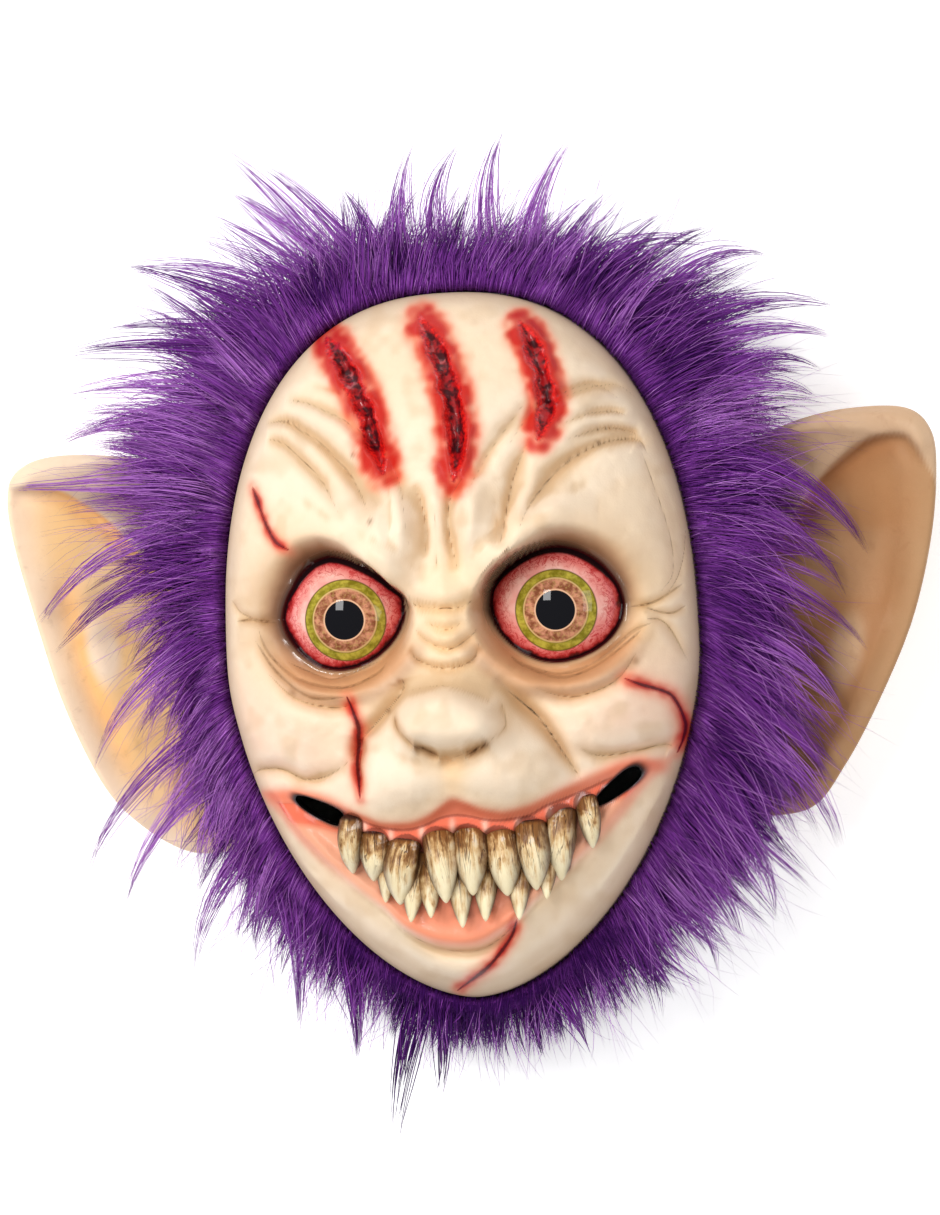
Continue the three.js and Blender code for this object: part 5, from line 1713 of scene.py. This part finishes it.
def pileLocks(random):
    # Roots spread all over the undercoat, more of them where it is wide, with their share of the way out,
    # their direction and their locks' paths
    locks, turns = fur["pileLocks"], np.linspace(0, 2 * math.pi, 720)
    weight = around(fur["denseReach"], turns) + 8
    angle = np.interp(random.random(locks), np.cumsum(weight) / weight.sum(), turns)
    whole = around(fur["denseReach"], angle)
    reach = whole * undercoat["reachShare"] + 2
    share = random.random(locks) ** 1.15
    out = reach * share * 0.98
    headRoot, headTip = headings(angle)
    lean = turned(headRoot, angle, 0.35)
    root = furRoot(angle, 1.0, np.full(locks, face["edgeHeight"]))
    root[:, 0] += out * np.cos(lean)
    root[:, 1] += out * np.sin(lean)
    root[:, 2] = coatHeight(out, reach) - 1 + 1.5 * (share < 0.1)
    sink = np.radians(-6 - 40 * share**1.5)
    wave = 0.18 * grain(root[:, 0], root[:, 1], 17, 71)
    headRoot = turned(headRoot, headTip, 0.6 * share) + wave
    length = np.clip(1.15 * whole - 0.75 * out, 10, 58) * random.uniform(0.7, 1.15, locks)
    lift = np.radians(mix(20, 8, share) + random.normal(0, 4, locks))
    paths = grownPath(root, headRoot, headTip + 2 * wave, lift, np.minimum(sink, -0.45), length, 8)
    return root, share, headRoot, paths


def makePile():
    # Short strands over the whole undercoat, in small locks whose strands lean together at their tips
    random = np.random.default_rng(11)
    root, share, headRoot, paths = pileLocks(random)
    locks, count, steps = fur["pileLocks"], fur["pileStrands"], 4
    which = np.sort(random.integers(0, locks, count))
    t = np.linspace(0, 1, steps + 1)[None, :] * random.uniform(0.5, 1.0, count)[:, None]
    strands = onPath(paths, which, t)
    spread = random.normal(0, 1, (count, 2)) * mix(3.2, 3.6, share[which])[:, None]
    cosine, sine = np.cos(headRoot[which]), np.sin(headRoot[which])
    across, onward = np.stack([-sine, cosine, 0 * sine], -1), np.stack([cosine, sine, 0 * sine], -1)
    # Next to the face no strand is spread back over the skin
    spread[:, 1] = np.where(share[which] < 0.15, np.abs(spread[:, 1]), spread[:, 1])
    offset = across * spread[:, :1] + onward * spread[:, 1:]
    offset[:, 2] = random.uniform(-1.2, 1.4, count)
    bunch = mix(0.35, 0.85, smooth(share, 0.1, 0.8))[which][:, None]
    pull = (1 - bunch * np.linspace(0, 1, steps + 1)[None] ** 1.3)[..., None]
    strands = strands + offset[:, None] * pull
    clearOfEars(strands, True, 1.0 + 1.5 * random.random((count, 1)))
    swell = 0.46 + 0.4 * grain(root[:, 0], root[:, 1], 13, 72) + 0.2 * grain(root[:, 0], root[:, 1], 5, 73)
    swell = swell + lit(root[:, 0], root[:, 1])
    shade = (swell + random.normal(0, 0.06, locks))[which] + random.normal(0, 0.1, count)
    # Strands lying lower in the pile get a darker shade: painted shade
    shade = np.clip(shade + 0.1 * offset[:, 2], 0.02, 0.98)
    width = fur["thickness"] * random.uniform(0.7, 1.3, count)
    half = count // 2
    strandMesh("furPileUpper", strands[:half], width[:half], shade[:half])
    strandMesh("furPileLower", strands[half:], width[half:], shade[half:])


def makeEdge():
    # Fine short hair from right beside the skin, lying outwards over the pile
    random = np.random.default_rng(59)
    count = fur["edgeStrands"]
    angle = random.uniform(0, 2 * math.pi, count)
    root = furRoot(angle, random.uniform(-0.3, 2.6, count), np.full(count, face["edgeHeight"]))
    root[:, 2] += random.uniform(0, 0.9, count)
    wave = 0.25 * grain(root[:, 0], root[:, 1], 9, 75)
    headRoot, headTip = headings(angle)
    headRoot = headRoot + wave + random.normal(0, 0.08, count)
    headTip = turned(headRoot, headTip, 0.4) + wave
    length = np.clip(0.3 * around(fur["denseReach"], angle) + 4, 6, 16) * random.uniform(0.7, 1.2, count)
    lift = np.radians(random.uniform(4, 16, count))
    sink = np.radians(random.uniform(-8, 4, count))
    paths = grownPath(root, headRoot, headTip, lift, sink, length, 3)
    shade = 0.5 + 0.22 * grain(root[:, 0], root[:, 1], 8, 76) + random.normal(0, 0.15, count)
    shade = shade + lit(root[:, 0], root[:, 1])
    width = fur["thickness"] * random.uniform(0.6, 1.1, count)
    strandMesh("furEdge", paths, width, np.clip(shade, 0.02, 0.98))


# Long locks that stand clear of the rest: root, bend and tip
longLocks = [
    ((-37, 142), (-61, 179), (-92, 203)), ((-28, 146), (-48, 176), (-75, 195)),
    ((-43, 147), (-66, 172), (-90, 186)), ((-48, 142), (-74, 164), (-97, 176)),
    ((-52, 140), (-78, 157), (-102, 167)), ((-61, 137), (-96, 155), (-138, 157)),
    ((-63, 130), (-103, 150), (-134, 159)), ((-70, 124), (-113, 134), (-145, 132)),
    ((-78, 118), (-126, 126), (-161, 123)), ((-80, 105), (-126, 111), (-160, 107)),
    ((-82, 95), (-131, 98), (-163, 88)), ((-84, 80), (-119, 92), (-148, 92)),
    ((-90, 69), (-144, 72), (-186, 70)), ((-95, 53), (-149, 46), (-176, 10)),
    ((-101, 38), (-142, 28), (-166, 4)), ((-101, 7), (-136, -11), (-155, -45)),
    ((-98, -25), (-140, -51), (-159, -86)), ((-96, -44), (-127, -67), (-144, -98)),
    ((-15, 154), (-18, 178), (-12, 202)), ((-5, 156), (-5, 179), (6, 200)),
    ((-26, 152), (-29, 169), (-43, 184)), ((32, 149), (38, 175), (50, 199)), ((18, 152), (15, 180),
     (23, 204)),
    ((59, 144), (80, 157), (103, 153)), ((83, 133), (107, 152), (126, 147)),
    ((94, 122), (125, 130), (153, 125)), ((98, 111), (127, 120), (150, 114)),
    ((99, 100), (128, 110), (144, 101)), ((100, 90), (128, 98), (142, 90)), ((101, 70), (145, 60),
     (159, 26)),
    ((104, 51), (138, 42), (150, 10)), ((104, 28), (145, 14), (158, -12)), ((106, 1), (140, -10),
     (148, -41)),
    ((104, -34), (138, -55), (143, -88)), ((91, -64), (119, -85), (115, -115)),
    ((81, -83), (101, -99), (102, -122)), ((58, -105), (69, -125), (68, -152)),
    ((28, -133), (41, -144), (40, -164)), ((-23, -137), (-31, -164), (-40, -197)),
    ((-15, -139), (-11, -157), (-21, -179)), ((-51, -115), (-45, -137), (-53, -164)),
    ((-72, -88), (-66, -116), (-76, -152)), ((-85, -72), (-106, -95), (-117, -127)),
]


def lockStrands(random, paths, count, girth, close, steps):
    # Strands start spread across their lock's root and draw together to its tip, most of them ending earlier
    which = np.sort(random.integers(0, len(paths), count))
    t = np.linspace(0, 1, steps + 1)[None, :] * (1 - 0.62 * random.random(count) ** 1.4)[:, None]
    strands = onPath(paths, which, t)
    run = paths[which, 3] - paths[which, 0]
    run /= np.linalg.norm(run, axis=1)[:, None]
    across = np.cross(run, [0, 0, 1.0])
    offset = across * (random.normal(0, 1, count) * girth)[:, None]
    offset[:, 2] += random.normal(0, 0.5 * girth, count)
    along = np.linspace(0, 1, steps + 1)
    pull = (1 - close[which][:, None] * along[None] ** 1.1)[..., None]
    bend = random.normal(0, 1, count)[:, None] * (np.sin(math.pi * along) * 1.2)[None, :]
    strands = strands + offset[:, None] * pull + across[:, None] * bend[..., None]
    return which, clearOfEars(strands, True, 1.2 + 2.5 * random.random((count, 1)))


def makeLongLocks():
    # (1-t)² root + 2t(1-t) bend + t² tip, lifted in the middle
    random = np.random.default_rng(83)
    knots = np.array(longLocks, float)
    levels = np.tile([68.0, 84.0, 38.0], (len(knots), 1))
    knots = np.concatenate([knots, levels[..., None]], 2)
    t = np.linspace(0, 1, 13)[None, :, None]
    root, turn, tip = (knots[:, i:i + 1] for i in range(3))
    paths = (1 - t) ** 2 * root + 2 * t * (1 - t) * turn + t**2 * tip
    count = fur["lockStrands"] * len(paths)
    close = random.uniform(0.6, 0.9, len(paths))
    which, strands = lockStrands(random, paths, count, 3.4, close, 6)
    shade = (random.uniform(0.35, 0.85, len(paths)) + lit(paths[:, 0, 0], paths[:, 0, 1]))[which]
    shade = np.clip(shade + random.normal(0, 0.14, count), 0.02, 0.98)
    # Locks rooted below the chin are half as thick again
    stout = 1 + 0.5 * smooth(-paths[which, 0, 1], 95, 125)
    width = fur["thickness"] * random.uniform(0.8, 1.25, count) * stout
    strandMesh("furLongLocks", strands, width, shade)


def makeWisps():
    # Locks of every length between the long ones, rooted from the face outwards
    random = np.random.default_rng(23)
    locks = fur["wispLocks"]
    angle = random.uniform(0, 2 * math.pi, locks)
    reach = around(fur["denseReach"], angle)
    level = random.uniform(46, 71, locks)
    away = random.random(locks)
    root = furRoot(angle, 1 + 0.45 * reach * away, level - 12 * away)
    length = reach * random.uniform(0.8, 1.35, locks) * (1 - 0.35 * away) + 14
    headRoot, headTip = headings(angle)
    headRoot = headRoot + random.normal(0, 0.1, locks)
    headTip = headTip + random.normal(0, 0.25, locks)
    lift = np.radians(random.uniform(15, 48, locks) * (level - 30) / 40)
    sink = np.radians(random.uniform(-40, -15, locks))
    paths = grownPath(root, headRoot, headTip, lift, sink, length, 12)
    count = fur["wispStrands"] * locks
    which, strands = lockStrands(random, paths, count, 2.6, random.uniform(0.5, 0.92, locks), 5)
    shade = (random.uniform(0.2, 0.9, locks) + lit(root[:, 0], root[:, 1]))[which]
    shade = np.clip(shade + random.normal(0, 0.13, count), 0.02, 0.98)
    width = fur["thickness"] * random.uniform(0.7, 1.15, count)
    strandMesh("furWisps", strands, width, shade)


def makeFlyaways():
    # Single fine strands that stray further than their neighbours
    random = np.random.default_rng(31)
    count = fur["flyaways"]
    angle = random.uniform(0, 2 * math.pi, count)
    root = furRoot(angle, random.uniform(1, 14, count), np.full(count, 70.0))
    length = around(fur["denseReach"], angle) * random.uniform(0.7, 1.4, count) + 16
    headRoot, headTip = headings(angle)
    headRoot = headRoot + random.normal(0, 0.25, count)
    headTip = headTip + random.normal(0, 0.45, count)
    lift = np.radians(random.uniform(10, 60, count))
    sink = np.radians(random.uniform(-40, 10, count))
    paths = grownPath(root, headRoot, headTip, lift, sink, length, 5)
    clearOfEars(paths, True, 1.5 + 3 * random.random((count, 1)))
    strandMesh("furFlyaways", paths, np.full(count, fur["fineThickness"]), random.uniform(0.4, 1, count))


def makeSides():
    # Strands low on the side wall, below the ears and round the back edge
    random = np.random.default_rng(47)
    count, highest = fur["sideStrands"], 42
    angle = random.uniform(0, 2 * math.pi, count)
    level = random.uniform(4, highest, count)
    reach = around(fur["denseReach"], angle)
    out = reach * undercoat["reachShare"] * random.uniform(0.5, 0.95, count)
    root = furRoot(angle, out * mix(0.75, 1, level / highest), level)
    headRoot, headTip = headings(angle)
    headRoot = headRoot + random.normal(0, 0.15, count)
    headTip = headTip + random.normal(0, 0.2, count)
    length = random.uniform(16, 30, count)
    lift = np.radians(random.uniform(-10, 10, count))
    sink = np.radians(random.uniform(-45, -20, count))
    paths = grownPath(root, turned(angle, headRoot, 0.6), headTip, lift, sink, length, 4)
    clearOfEars(paths, False, 1.0)
    width = fur["thickness"] * random.uniform(0.8, 1.3, count)
    strandMesh("furSides", paths, width, random.uniform(0.2, 0.7, count))


makeUndercoat()
makePile()
makeEdge()
makeLongLocks()
makeWisps()
makeFlyaways()
makeSides()
print("the fur is combed")
